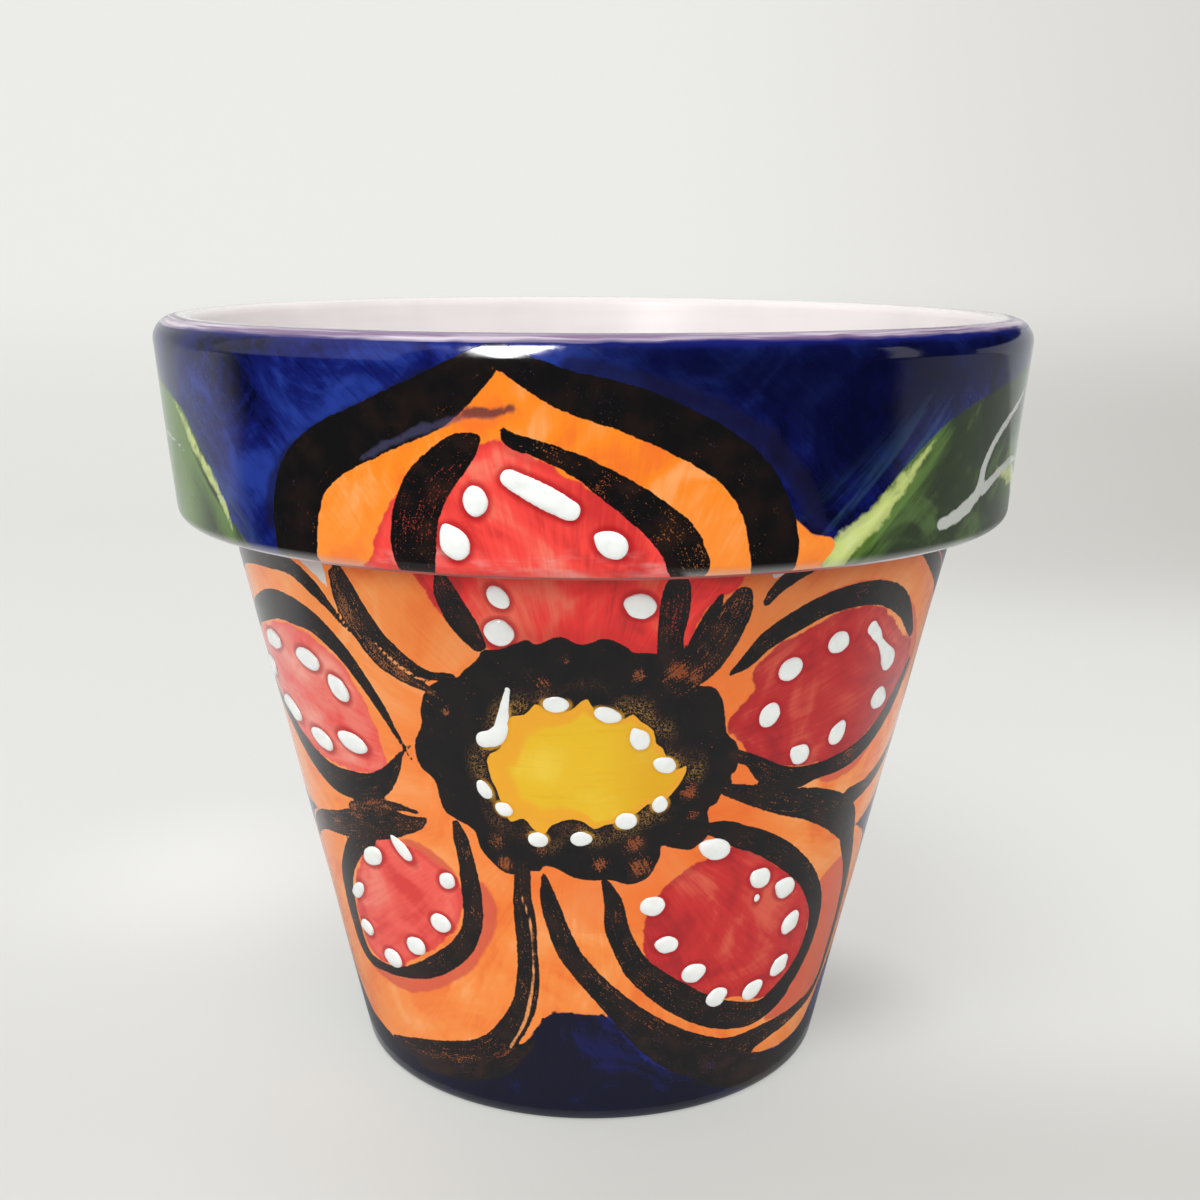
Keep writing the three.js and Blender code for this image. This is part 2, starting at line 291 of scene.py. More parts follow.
COLLAR_HEARTS = {
    "tip": (
        (-9.5, 126.3), (-7, 124.2), (-3.9, 122), (-1, 119.6), (2.4, 117), (5.2, 114.2), (7.4, 111.4),
        (9, 108), (9.6, 101), (-25, 101), (-24.8, 108.5), (-24, 112), (-22.4, 116), (-20, 119.5), (-15, 123),
        (-11.5, 125.5),
    ),
}
COLLAR_STROKES = {
    "left arch": (0.15, (
        (-9.5, 138.6, 1.6), (-12.7, 135.3, 3.0), (-17, 131.3, 4.1), (-23.6, 127.2, 4.1), (-29.8, 123.3, 4.3),
        (-33.7, 119, 4.6), (-35.5, 113.5, 4.8), (-36, 108.2, 4.5), (-36, 103, 4.2),
    )),
    "right arch": (0.15, (
        (-10, 138.4, 1.2), (-6.5, 135.8, 2.2), (-2, 133, 3.0), (4, 130.6, 3.4), (9.5, 127.3, 3.5),
        (14.3, 123.6, 3.5), (17.6, 119.4, 3.6), (19.6, 114.6, 3.9), (20.6, 110, 4.1), (20.7, 107.2, 3.7),
    )),
    "left inner": (0.34, (
        (-12.2, 126, 1.0), (-13.8, 124.4, 2.4), (-16.2, 121.3, 3.2), (-18.2, 117.8, 3.6), (-19.3, 114, 3.7),
        (-19.7, 110, 3.7), (-19.6, 107.4, 3.3),
    )),
    "right inner": (0.28, (
        (-9.3, 127.8, 0.4), (-8.2, 126, 1.1), (-5, 124.6, 1.3), (-1.2, 122.3, 1.7), (3, 118.6, 2.4),
        (6.8, 114.8, 2.8), (9.5, 111.2, 3.2), (10.8, 107.5, 3.2),
    )),
}
COLLAR_WASH = {
    "right": (
        (-2, 136.5, 1.6), (5, 134, 2.0), (12, 130.3, 2.2), (18, 126, 2.2), (22, 121.3, 2.0),
        (24.5, 116.5, 1.8), (26, 112.5, 1.5),
    ),
    "left": (
        (-17, 135.5, 0.8), (-23, 131.2, 1.0), (-29, 127.4, 1.1), (-35, 122.6, 1.3), (-38.5, 117, 1.3),
        (-40, 111, 1.0),
    ),
}
COLLAR_LAVENDER = {
    "smear": (
        (-12.6, 129.4, 0.3), (-15.4, 128.3, 0.6), (-18.6, 126.8, 0.7), (-22.2, 124.7, 0.5),
        (-25.4, 122.5, 0.2),
    ),
    "finger": ((-8.2, 130.6, 0.35), (-10, 129.8, 0.7), (-12, 129.9, 0.8), (-14.2, 129.3, 0.5)),
}
COLLAR_LEAVES = {
    "left": (
        (-47, 103), (-50, 112), (-52, 117), (-54.5, 121.5), (-58, 126), (-62, 128.3), (-68, 130), (-76, 131),
        (-84, 129.5), (-89, 125), (-91, 116), (-90, 103),
    ),
    "right": (
        (28, 103), (28.4, 109.5), (31, 111.5), (34, 115.5), (38, 120.3), (43, 125.3), (48, 128.2),
        (58, 131.3), (68, 133.3), (78, 133), (86, 129), (90, 122), (91, 112), (90, 103),
    ),
}
COLLAR_LIMES = {
    "left": (
        (-61, 127.5, 0.3), (-58.1, 124.3, 0.9), (-56, 121.4, 1.1), (-53.5, 118.2, 1.0), (-51, 114.8, 0.8),
        (-49.5, 112.2, 0.6), (-48.2, 108.5, 0.3),
    ),
    "right": (
        (28.4, 104.5, 2.2), (28.8, 107.4, 2.4), (30.8, 110, 2.3), (33, 112, 1.9), (36.2, 115.6, 1.5),
        (38.1, 118.2, 0.9), (40.5, 121.5, 0.4), (42.5, 124, 0.15),
    ),
    "right fork": ((60, 116.6, 0.5), (64, 116, 1.5), (69, 114.6, 1.8), (75, 112, 1.2)),
}
COLLAR_VEINS = {
    "left": ((-84, 123, 0.4), (-76, 122, 0.5), (-70, 121.3, 0.5), (-64, 120.6, 0.45), (-60, 119.4, 0.35)),
    "right": (
        (70, 129.2, 0.7), (66, 127.2, 0.9), (61, 124.6, 1.0), (57, 121.4, 1.1), (55, 118, 1.3),
        (54.4, 114.6, 1.5), (52, 112.2, 1.6), (48, 110.6, 1.5), (45.8, 110.1, 1.2),
    ),
    "right fork": ((55.5, 114.2, 1.2), (60, 116, 1.1), (66, 117.4, 0.9), (72, 117, 0.6)),
}

# How light the red of each heart is, from 0 for deep over 1 for bright to 2 for thinned to salmon.
HEART_TONES = {"top": 1.0, "tip": 1.15, "upper left": 1.9, "upper right": 0.1, "lower left": 1.45, "lower right": 0.3}
# Leaf between the flower on the front and the one on the back, round from the side.
SIDE_LEAVES = {
    "leaf": (
        (0, 57), (6, 52.5), (11, 45), (14, 36), (13, 27), (9, 19), (3, 13.5), (-3, 13.5), (-9, 19), (-13, 27),
        (-14, 36), (-11, 45), (-6, 52.5),
    ),
}
SIDE_LIMES = {
    "left": (
        (-4, 53.5, 0.6), (-8.5, 46.5, 1.6), (-11, 38, 1.9), (-10.5, 29, 1.8), (-7.5, 21, 1.3),
        (-3, 15.5, 0.5),
    ),
    "spot": ((4, 31, 0.6), (6.5, 26, 1.5), (5, 21, 0.7)),
}
SIDE_VEINS = {
    "main": ((1, 52, 0.4), (1.6, 44, 0.8), (0.6, 35, 0.9), (0.8, 26, 0.8), (0, 18.5, 0.4)),
    "upper": ((1.4, 41, 0.6), (4.5, 44.3, 0.6), (7.3, 45, 0.4)),
    "lower": ((0.8, 31, 0.6), (-3.6, 34, 0.6), (-6.6, 34.5, 0.4)),
}
# Places where the black went on thin: degrees, height and radius.
WALL_THIN = (
    (7.6, 57.4, 2.6), (8.4, 52.6, 3.4), (-14.4, 52.8, 2.2), (-15.8, 57, 2.4), (12.4, 88, 3.4),
    (15, 86.4, 2.6), (-3.4, 90.2, 1.6), (6.8, 87.6, 1.8), (-8, 56.2, 2.0), (1.8, 53.4, 2.4), (-21.6, 80, 1.4),
    (-6.4, 86.2, 2.0), (15.6, 66.4, 2.4), (16.8, 62, 2.0),
)
# Raised dots: degrees, height, length, breadth, lean of the length from level, and how far it tapers.
WALL_DOTS = (
    (-12.2, 100.4, 4.3, 3.2, -58, 0.1), (-12.4, 94.5, 4.9, 4.6, 0, 0), (6.6, 99.3, 5.2, 4.4, 165, 0.15),
    (-4.9, 82.6, 4.3, 2.9, 0, 0), (2.5, 80.8, 4.6, 2.8, -18, 0.1), (7.3, 76.5, 4.3, 3.2, 118, 0.4),
    (11.4, 71.6, 4.0, 3.0, 160, 0.25), (11.1, 64.4, 3.1, 2.8, 80, 0.25), (5.8, 61.6, 3.7, 3.3, 0, 0),
    (-1.4, 58.3, 3.7, 2.8, 0, 0.1), (-8.5, 57.9, 3.5, 2.9, 0, 0), (-13.8, 63.2, 3.2, 2.5, 155, 0.25),
    (-16.8, 66.5, 3.8, 2.4, 118, 0.05), (30.3, 86.5, 4.9, 4.3, 30, 0.05), (38.9, 89.8, 5.1, 4.0, -8, 0),
    (27.8, 78.7, 4.6, 4.0, 80, 0.1), (35.3, 70.3, 4.5, 3.9, 145, 0.35), (43.3, 72.6, 4.7, 4.1, 60, 0.15),
    (53.9, 76.5, 5.6, 4.4, -20, 0.2), (-61.8, 85.1, 8.2, 3.7, 5, 0), (-49.3, 84.4, 7.2, 4.0, 172, 0.1),
    (-42.4, 80.5, 5.6, 4.2, 135, 0.2), (-42, 70.7, 7.5, 3.9, 170, 0.15), (-51.4, 69, 6.9, 3.9, 168, 0.2),
    (-61.8, 72.1, 8.0, 4.0, 165, 0.1), (-69.4, 78.2, 7.2, 4.2, 12, 0), (-35.2, 52, 5.7, 2.8, 132, 0.25),
    (-43.6, 48.4, 6.0, 3.7, 30, 0), (-26, 47.7, 3.6, 3.2, 60, 0.05), (-52.5, 38.9, 6.2, 2.7, 38, 0.1),
    (-29, 38.7, 4.2, 3.8, 0, 0), (-36.6, 32.1, 4.7, 3.8, 22, 0), (-52.7, 31.1, 4.3, 3.4, 10, 0.05),
    (-44.9, 27.2, 5.1, 3.9, 8, 0), (21.5, 54.9, 6.2, 4.2, 158, 0.25), (31.8, 47.4, 4.7, 4.1, 148, 0.25),
    (31.9, 43.4, 1.7, 1.2, 90, 0), (38.5, 43.9, 5.1, 4.2, 150, 0.3), (11.1, 45, 4.3, 4.0, 0, 0),
    (14.3, 37, 4.2, 3.6, 170, 0.15), (20.4, 30.4, 4.6, 4.1, 20, 0.1), (26.4, 24.3, 4.3, 4.0, 30, 0.1),
    (35.4, 23.7, 4.7, 4.0, 35, 0.25), (42, 27, 4.8, 4.0, 45, 0.25), (42.3, 35.8, 4.8, 4.1, 60, 0.1),
)
COLLAR_DOTS = (
    (-12.3, 116.9, 4.7, 3.8, 95, 0.1), (-14.9, 110.6, 5.7, 4.7, 122, 0.3), (2.3, 110.8, 5.3, 4.2, 150, 0.3),
)
# Where the white was trailed: degrees, height and breadth along the trail.
WALL_TRAILS = (
    (
        (46.3, 91.0, 2.7), (47.7, 89.8, 2.5), (49.6, 87.9, 1.9), (51.5, 86.0, 2.5), (53.1, 84.4, 3.9),
        (53.9, 83.6, 4.2),
    ),
    (
        (-15.8, 75.7, 3.3), (-14.4, 76.2, 3.3), (-13.3, 77.6, 2.6), (-12.9, 79.4, 2.2), (-12.5, 81.3, 1.7),
        (-12.1, 83.0, 1.3), (-11.8, 84.8, 1.0),
    ),
)
COLLAR_TRAILS = (((-8.4, 120.4, 3.0), (-6.6, 119.1, 3.6), (-4.0, 117.2, 3.7), (-2.2, 115.9, 3.3)),)

# Distance in millimetres that stands for no paint near by, and how far round paint is measured.
NOWHERE = 1000.0
FAR_FROM_PAINT = 10.0
# Degrees that a motif reaches to either side of its middle.
MOTIF_REACH = 112.0
# Middle of the flower: degrees and height.
FLOWER_MIDDLE = (-1.0, 71.0)
# Points from each corner of an area to the next, where it isn't the usual number.
USUAL_CORNER_STEPS = 4
CORNER_STEPS = {"bare": 1, "eye": 2}
# Millimetres between the rows of the painted collar.
COLLAR_SPACING = 0.62
# How far, in millimetres, the hidden back of a coat may stray from its face.
UNDER_SLACK = 0.04
# How far, in millimetres, the middle of a raised dot is sunk in the glaze.
DOT_SINK = 0.08

SIDE_NAVY = ((-20, 7.5), (-10, 8.5), (0, 9.5), (10, 8.5), (20, 7.5), (20, -3), (-20, -3))
COLLAR_DEEP = (
    (2, 142), (4, 134.5), (12, 130.5), (20, 126.5), (25, 119), (30, 118), (38, 124), (48, 129), (60, 132),
    (74, 135), (74, 142),
)
# Kinds of paint. Split is a light line on the wall, and thinned paint on the collar.
WALL_LAYERS = ("petal", "heart", "halo", "eye", "ring", "navy", "bare", "split", "ink", "dot", "leaf", "lime", "vein")
COLLAR_LAYERS = ("petal", "heart", "wash", "deep", "split", "ink", "dot", "leaf", "lime", "vein")
FLOWER = {
    "areas": {"petal": WALL_PETALS, "heart": WALL_HEARTS, "halo": WALL_HALOS, "ring": {"ring": WALL_RING},
              "eye": {"eye": WALL_EYE}, "navy": {"navy": WALL_NAVY}, "bare": WALL_BARE},
    "lines": {"split": WALL_SPLITS},
    "strokes": WALL_STROKES,
    "thin": WALL_THIN,
    "dots": True,
}
SIDE_LEAF = {
    "areas": {"leaf": SIDE_LEAVES, "navy": {"navy": SIDE_NAVY}},
    "lines": {"lime": SIDE_LIMES, "vein": SIDE_VEINS},
    "strokes": {},
    "thin": (),
    "dots": False,
}
PETAL_TIP = {
    "areas": {"petal": COLLAR_PETALS, "heart": COLLAR_HEARTS, "leaf": COLLAR_LEAVES, "deep": {"deep": COLLAR_DEEP}},
    "lines": {"lime": COLLAR_LIMES, "vein": COLLAR_VEINS, "wash": COLLAR_WASH, "split": COLLAR_LAVENDER},
    "strokes": COLLAR_STROKES,
    "thin": (),
    "dots": True,
}
# Where each motif is painted: degrees round from the front, and whether it is turned left for right.
WALL_MOTIFS = ((0, False, FLOWER), (180, True, FLOWER), (-90, False, SIDE_LEAF), (90, True, SIDE_LEAF))
COLLAR_MOTIFS = ((0, False, PETAL_TIP), (180, True, PETAL_TIP))


def spline(points, steps, closed):
    """A smooth curve through the points, with a few steps from each to the next."""
    through = np.asarray(points, float)
    if closed:
        through = np.concatenate([through[-1:], through, through[:2]])
    else:
        before = 2 * through[:1] - through[1:2]
        after = 2 * through[-1:] - through[-2:-1]
        through = np.concatenate([before, through, after])
    t = (np.arange(steps) / steps)[:, None, None]
    a, b, c, d = through[:-3], through[1:-2], through[2:-1], through[3:]
    bends = (c - a) * t + (2 * a - 5 * b + 4 * c - d) * t**2 + (3 * b - a - 3 * c + d) * t**3
    curve = (b + 0.5 * bends).transpose(1, 0, 2).reshape(-1, through.shape[1])
    return curve if closed else np.concatenate([curve, through[-2:-1]])


class Cone:
    """One side of the pot rolled out flat, so that paper distances are distances on the clay."""

    def __init__(self, low, high, low_radius, high_radius):
        self.low = low
        self.low_radius = low_radius
        self.slope = (high_radius - low_radius) / (high - low)
        self.sine = self.slope / math.hypot(1, self.slope)

    def radius(self, height):
        return self.low_radius + self.slope * (np.asarray(height) - self.low)

    def flat(self, degrees, height):
        reach = self.radius(height) / self.sine
        turn = np.radians(degrees) * self.sine
        return np.stack([reach * np.sin(turn), reach * np.cos(turn)], -1)

    def place(self, degrees, height):
        """The point on the side, in millimetres."""
        turn = np.radians(degrees)
        radius = self.radius(height)
        return np.stack([radius * np.sin(turn), -radius * np.cos(turn), np.asarray(height) + 0 * turn], -1)

    def outward(self, degrees):
        turn = np.radians(degrees)
        level = 1 / math.hypot(1, self.slope)
        return np.stack([level * np.sin(turn), -level * np.cos(turn), 0 * turn - self.sine], -1)


def stroke_distance(flat, cone, stroke):
    """Millimetres outside a brush stroke, and the places along and across it, for each flat point."""
    curve = spline(stroke, 8, False)
    middle = cone.flat(curve[:, 0], curve[:, 1])
    half = curve[:, 2]
    reach = half.max() + FAR_FROM_PAINT
    near = np.all((flat > middle.min(0) - reach) & (flat < middle.max(0) + reach), axis=1)
    points = flat[near]
    best = np.full(len(points), NOWHERE)
    best_along = np.zeros(len(points))
    best_across = np.zeros(len(points))
    run = 0.0
    for i in range(len(middle) - 1):
        step = middle[i + 1] - middle[i]
        length = np.hypot(*step)
        if length < 1e-6:
            continue
        offset = points - middle[i]
        share = np.clip(offset @ step / length**2, 0, 1)
        gap = np.hypot(*(offset - share[:, None] * step).T) - (half[i] + share * (half[i + 1] - half[i]))
        closer = gap < best
        best[closer] = gap[closer]
        best_along[closer] = (run + share * length)[closer]
        best_across[closer] = ((offset[:, 0] * step[1] - offset[:, 1] * step[0]) / length)[closer]
        run += length
    distance = np.full(len(flat), NOWHERE)
    along = np.zeros(len(flat))
    across = np.zeros(len(flat))
    distance[near], along[near], across[near] = best, best_along, best_across
    return distance, along, across


def area_distance(flat, cone, area, steps=4):
    """Millimetres outside a painted area, negative inside it, for each flat point."""
    outline = spline(area, steps, True) if steps > 1 else np.asarray(area, float)
    corners = cone.flat(outline[:, 0], outline[:, 1])
    near = np.all((flat > corners.min(0) - FAR_FROM_PAINT) & (flat < corners.max(0) + FAR_FROM_PAINT), axis=1)
    points = flat[near]
    best = np.full(len(points), NOWHERE**2)
    inside = np.zeros(len(points), bool)
    for start, end in zip(corners, np.roll(corners, -1, axis=0)):
        step = end - start
        square = step @ step
        if square < 1e-9:
            continue
        offset = points - start
        share = np.clip(offset @ step / square, 0, 1)
        best = np.minimum(best, ((offset - share[:, None] * step) ** 2).sum(1))
        if start[1] != end[1]:
            crossing = (start[1] > points[:, 1]) != (end[1] > points[:, 1])
            inside ^= crossing & (points[:, 0] < start[0] + (points[:, 1] - start[1]) * step[0] / step[1])
    distance = np.full(len(flat), NOWHERE)
    distance[near] = np.where(inside, -1, 1) * np.sqrt(best)
    return distance


def dot_distance(flat, cone, dots):
    """Millimetres outside the nearest raised dot, for each flat point."""
    distance = np.full(len(flat), NOWHERE)
    for degrees, height, length, breadth, lean, _ in dots:
        offset = flat - cone.flat(np.float64(degrees), np.float64(height))
        turn = math.radians(degrees) * cone.sine
        lean_here = math.radians(lean) - turn
        along = offset[:, 0] * math.cos(lean_here) + offset[:, 1] * math.sin(lean_here)
        across = offset[:, 1] * math.cos(lean_here) - offset[:, 0] * math.sin(lean_here)
        share = np.hypot(along / (length / 2), across / (breadth / 2))
        distance = np.minimum(distance, (share - 1) * min(length, breadth) / 2)
    return distance


def dots_along(trails):
    """Small dots set close together along each trail, so that they run into one."""
    dots = []
    for trail in trails:
        for degrees, height, breadth in spline(trail, 4, False):
            dots.append((degrees, height, breadth, breadth * 0.96, 0, 0))
    return tuple(dots)


def side_of(degrees, centre, mirrored):
    """Degrees round from the middle of a motif that is painted round the pot at centre."""
    local = (degrees - centre + 180) % 360 - 180
    return -local if mirrored else local


def paint_motif(layers, flat, in_front, cone, motif, dots):
    """Brings one motif into the layers of the vertices that it reaches."""
    for name, shapes in motif["areas"].items():
        for shape_name, shape in shapes.items():
            found = area_distance(flat, cone, shape, CORNER_STEPS.get(name, USUAL_CORNER_STEPS))
            if name == "heart":
                layers["tone"] = np.where(found < layers[name], HEART_TONES[shape_name], layers["tone"])
            layers[name] = np.minimum(layers[name], found)
    for name, shapes in motif["lines"].items():
        for shape in shapes.values():
            layers[name] = np.minimum(layers[name], stroke_distance(flat, cone, shape)[0])
    for dryness, shape in motif["strokes"].values():
        found, along, across = stroke_distance(flat, cone, shape)
        closer = found < layers["ink"]
        for name, value in (("ink", found), ("along", along), ("across", across)):
            layers[name] = np.where(closer, value, layers[name])
        inside = np.clip(0.6 - found, 0, 1)
        layers["dryness"] = np.maximum(layers["dryness"] * (found > 0), dryness * inside)
    for degrees, height, radius in motif["thin"]:
        offset = flat - cone.flat(np.float64(degrees), np.float64(height))
        thin = np.clip(1.1 * (1 - np.hypot(*offset.T) / radius), 0, 0.8)
        layers["dryness"] = np.maximum(layers["dryness"], thin)
    if motif["dots"]:
        layers["dot"] = np.minimum(layers["dot"], dot_distance(flat, cone, dots))
        from_middle = flat - cone.flat(*np.float64(FLOWER_MIDDLE))
        for name, value in zip(("right", "up"), from_middle.T):
            layers[name] = np.where(in_front, value, layers[name])


def paint_layers(cone, degrees, heights, names, motifs, dots):
    """Each layer's distance in millimetres for every vertex, least of all the motifs on that side."""
    layers = {name: np.full(len(degrees), NOWHERE) for name in names}
    layers["tone"] = np.full(len(degrees), 0.5)
    for name in ("dryness", "along", "across", "right", "up"):
        layers[name] = np.zeros(len(degrees))
    for centre, mirrored, motif in motifs:
        local = side_of(degrees, centre, mirrored)
        chosen = np.abs(local) <= MOTIF_REACH
        flat = cone.flat(local[chosen], heights[chosen])
        here = {name: values[chosen] for name, values in layers.items()}
        paint_motif(here, flat, np.abs(local[chosen]) <= 90, cone, motif, dots)
        for name, values in here.items():
            layers[name][chosen] = values
    return layers


class Bench:
    """Lays out one node tree. Each call adds a node and joins what feeds it."""

    def __init__(self, tree):
        self.tree = tree

    def add(self, kind, feeds=(), **settings):
        node = self.tree.nodes.new(kind)
        for name, value in settings.items():
            setattr(node, name, value)
        for socket, value in dict(feeds).items():
            self.join(value, node.inputs[socket])
        return node

    def join(self, value, socket):
        """Feeds a socket from another socket, or sets it to a plain value."""
        if isinstance(value, bpy.types.NodeSocket):
            self.tree.links.new(value, socket)
        else:
            socket.default_value = value

    def math(self, operation, first, second=0.5, third=0.5, clamp=False):
        feeds = {0: first, 1: second, 2: third}
        return self.add("ShaderNodeMath", feeds, operation=operation, use_clamp=clamp).outputs[0]

    def times(self, product, *factors):
        for factor in factors:
            product = self.math("MULTIPLY", product, factor)
        return product

    def times_plus(self, value, factor, more):
        return self.math("MULTIPLY_ADD", value, factor, more)

    def vector(self, operation, first, second=(0, 0, 0)):
        node = self.add("ShaderNodeVectorMath", {0: first, 1: second}, operation=operation)
        return node.outputs["Vector"]

    def scaled(self, vector, amount):
        return self.add("ShaderNodeVectorMath", {0: vector, "Scale": amount}, operation="SCALE").outputs[0]

    def length(self, vector):
        return self.add("ShaderNodeVectorMath", {0: vector}, operation="LENGTH").outputs["Value"]

    def axes(self, vector):
        """The X, Y and Z of a vector, by name."""
        return self.add("ShaderNodeSeparateXYZ", {0: vector}).outputs

    def arrow(self, **axes):
        """The vector with this X, Y and Z."""
        return self.add("ShaderNodeCombineXYZ", axes).outputs[0]

    def turned(self, place, angle):
        """A place turned round the pot's axis."""
        feeds = {"Vector": place, "Angle": angle}
        return self.add("ShaderNodeVectorRotate", feeds, rotation_type="Z_AXIS").outputs[0]

    def blend(self, share, first, second, blend_type="MIX"):
        """Two colours mixed by a share from 0 to 1."""
        node = self.add("ShaderNodeMix", {0: share, 6: first, 7: second}, data_type="RGBA", blend_type=blend_type)
        return node.outputs[2]

    def between(self, share, first, second):
        """Two numbers mixed by a share from 0 to 1."""
        return self.add("ShaderNodeMix", {0: share, 2: first, 3: second}, data_type="FLOAT").outputs[0]

    def rise(self, value, low, high, start=0.0, end=1.0):
        """A smooth step from start to end as the value goes from low to high."""
        feeds = {"Value": value, "From Min": low, "From Max": high, "To Min": start, "To Max": end}
        return self.add("ShaderNodeMapRange", feeds, interpolation_type="SMOOTHSTEP").outputs["Result"]

    def noise(self, place, scale, detail=2.0, rough=0.5, bend=0.0):
        feeds = {"Vector": place, "Scale": scale, "Detail": detail, "Roughness": rough, "Distortion": bend}
        return self.add("ShaderNodeTexNoise", feeds).outputs[0]

    def cells(self, place, scale):
        """How far a place is from the middle of its cell."""
        return self.add("ShaderNodeTexVoronoi", {"Vector": place, "Scale": scale}).outputs["Distance"]

    def reading(self, name):
        """A value that the piece holds at each vertex."""
        return self.add("ShaderNodeAttribute", attribute_name=name).outputs["Fac"]

    def readings(self, *names):
        return (self.reading(name) for name in names)


def node_group(name, kind, inputs, outputs):
    """An empty node group with these sockets, its bench, its input node and its output node."""
    group = bpy.data.node_groups.new(name, kind)
    for in_out, sockets in (("INPUT", inputs), ("OUTPUT", outputs)):
        for socket_name, socket_type, *default in sockets:
            socket = group.interface.new_socket(socket_name, in_out=in_out, socket_type=socket_type)
            if default:
                socket.default_value = default[0]
    bench = Bench(group)
    return group, bench, bench.add("NodeGroupInput").outputs, bench.add("NodeGroupOutput").inputs


NUMBER = "NodeSocketFloat"
COLOUR = "NodeSocketColor"
ARROW = "NodeSocketVector"


def painted_edge_group():
    """How far an area of paint covers, with the ragged edge that a brush leaves."""
    group, bench, given, out = node_group(
        "painted_edge", "ShaderNodeTree",
        [("Place", ARROW), ("Distance", NUMBER), ("Wander", NUMBER, 0.3), ("Grain", NUMBER, 900.0),
         ("Softness", NUMBER, 0.12)],
        [("Cover", NUMBER)],
    )
    broad = bench.noise(given["Place"], bench.times(given["Grain"], 0.35), 1.0)
    fine = bench.noise(given["Place"], given["Grain"], 2.0, 0.6)
    ragged = bench.math("SUBTRACT", bench.math("ADD", broad, fine), 1.0)
    edge = bench.times_plus(ragged, bench.times(given["Wander"], 2.0), given["Distance"])
    low = bench.times(given["Softness"], -1.0)
    bench.join(bench.rise(edge, low, given["Softness"], 1.0, 0.0), out["Cover"])
    return group


def thin_paint_group():
    """Where a dry brush let the colour under it show, as grains and streaks along the stroke."""
    group, bench, given, out = node_group(
        "thin_paint", "ShaderNodeTree",
        [("Place", ARROW), ("Distance", NUMBER), ("Along", NUMBER), ("Across", NUMBER), ("Dryness", NUMBER)],
        [("Bare", NUMBER)],
    )
    lay = bench.arrow(X=bench.times(given["Along"], 0.2), Y=bench.times(given["Across"], 2.6))
    streaks = bench.noise(lay, 1.0, 1.0, 0.6)
    patches = bench.noise(given["Place"], 190.0, 1.0)
    grains = bench.noise(given["Place"], 4300.0, 1.0, 0.5)
    crumbs = bench.cells(given["Place"], 3000.0)
    texture = bench.times_plus(grains, 0.7, bench.times(crumbs, 0.3))
    texture = bench.times_plus(streaks, 0.62, texture)
    texture = bench.times_plus(patches, 0.45, texture)
    limit = bench.times_plus(given["Dryness"], -0.40, 1.37)
    bare = bench.rise(bench.math("SUBTRACT", texture, limit), 0.0, 0.07)
    within = bench.rise(given["Distance"], -0.12, -0.5)
    bench.join(bench.times(bare, within), out["Bare"])
    return group


def brush_hairs_group():
    """Fine hairs of paint that run out from the middle of the flower."""
    group, bench, given, out = node_group(
        "brush_hairs", "ShaderNodeTree",
        [("Right", NUMBER), ("Up", NUMBER)],
        [("Hairs", NUMBER)],
    )
    offset = bench.arrow(X=given["Right"], Y=given["Up"])
    climb = bench.arrow(Z=bench.times(bench.length(offset), 0.0024))
    place = bench.vector("ADD", bench.vector("NORMALIZE", offset), climb)
    bench.join(bench.noise(place, 46.0, 3.0, 0.6, 0.4), out["Hairs"])
    return group


def watery_wash_group():
    """Thin colour that pooled as it dried, paler and deeper from place to place."""
    group, bench, given, out = node_group(
        "watery_wash", "ShaderNodeTree",
        [("Place", ARROW), ("Distance", NUMBER), ("Hairs", NUMBER, 0.5), ("Pale", COLOUR), ("Main", COLOUR),
         ("Deep", COLOUR), ("Edge", NUMBER, 0.5)],
        [("Color", COLOUR)],
    )
    swirls = bench.noise(given["Place"], 62.0, 3.0, 0.55, 1.2)
    depth = bench.times_plus(given["Hairs"], 0.26, bench.times(swirls, 0.94))
    pale = bench.rise(depth, 0.58, 0.80)
    deep = bench.times(bench.rise(depth, 0.60, 0.42), 0.75)
    colour = bench.blend(pale, given["Main"], given["Pale"])
    shore = bench.times_plus(bench.math("SUBTRACT", swirls, 0.5), 5.0, given["Distance"])
    pooled = bench.times(bench.rise(shore, -1.6, -0.3), given["Edge"])
    bench.join(bench.blend(bench.math("MAXIMUM", deep, pooled), colour, given["Deep"]), out["Color"])
    return group


def cobalt_brushing_group():
    """Cobalt glaze brushed on in broad slanting strokes."""
    group, bench, given, out = node_group(
        "cobalt_brushing", "ShaderNodeTree",
        [("Place", ARROW), ("Dark", COLOUR), ("Cobalt", COLOUR), ("Bright", COLOUR), ("Depth", NUMBER, 0.5)],
        [("Color", COLOUR)],
    )
    slant = bench.times(bench.axes(given["Place"])["Z"], 14.0)
    slanted = bench.vector("MULTIPLY", bench.turned(given["Place"], slant), (1.0, 1.0, 0.35))
    hairs = bench.noise(slanted, 420.0, 4.0, 0.65, 1.4)
    swirls = bench.noise(given["Place"], 62.0, 4.0, 0.6, 2.4)
    clouds = bench.noise(given["Place"], 30.0, 2.0, 0.5, 0.8)
    level = bench.times_plus(hairs, 0.3, bench.times(swirls, 0.75))
    level = bench.times_plus(clouds, 0.7, level)
    level = bench.math("SUBTRACT", level, bench.times(given["Depth"], 0.5))
    colour = bench.blend(bench.rise(level, 0.56, 0.78), given["Dark"], given["Cobalt"])
    bright = bench.rise(level, 0.74, 0.98)
    bench.join(bench.blend(bright, colour, given["Bright"]), out["Color"])
    return group


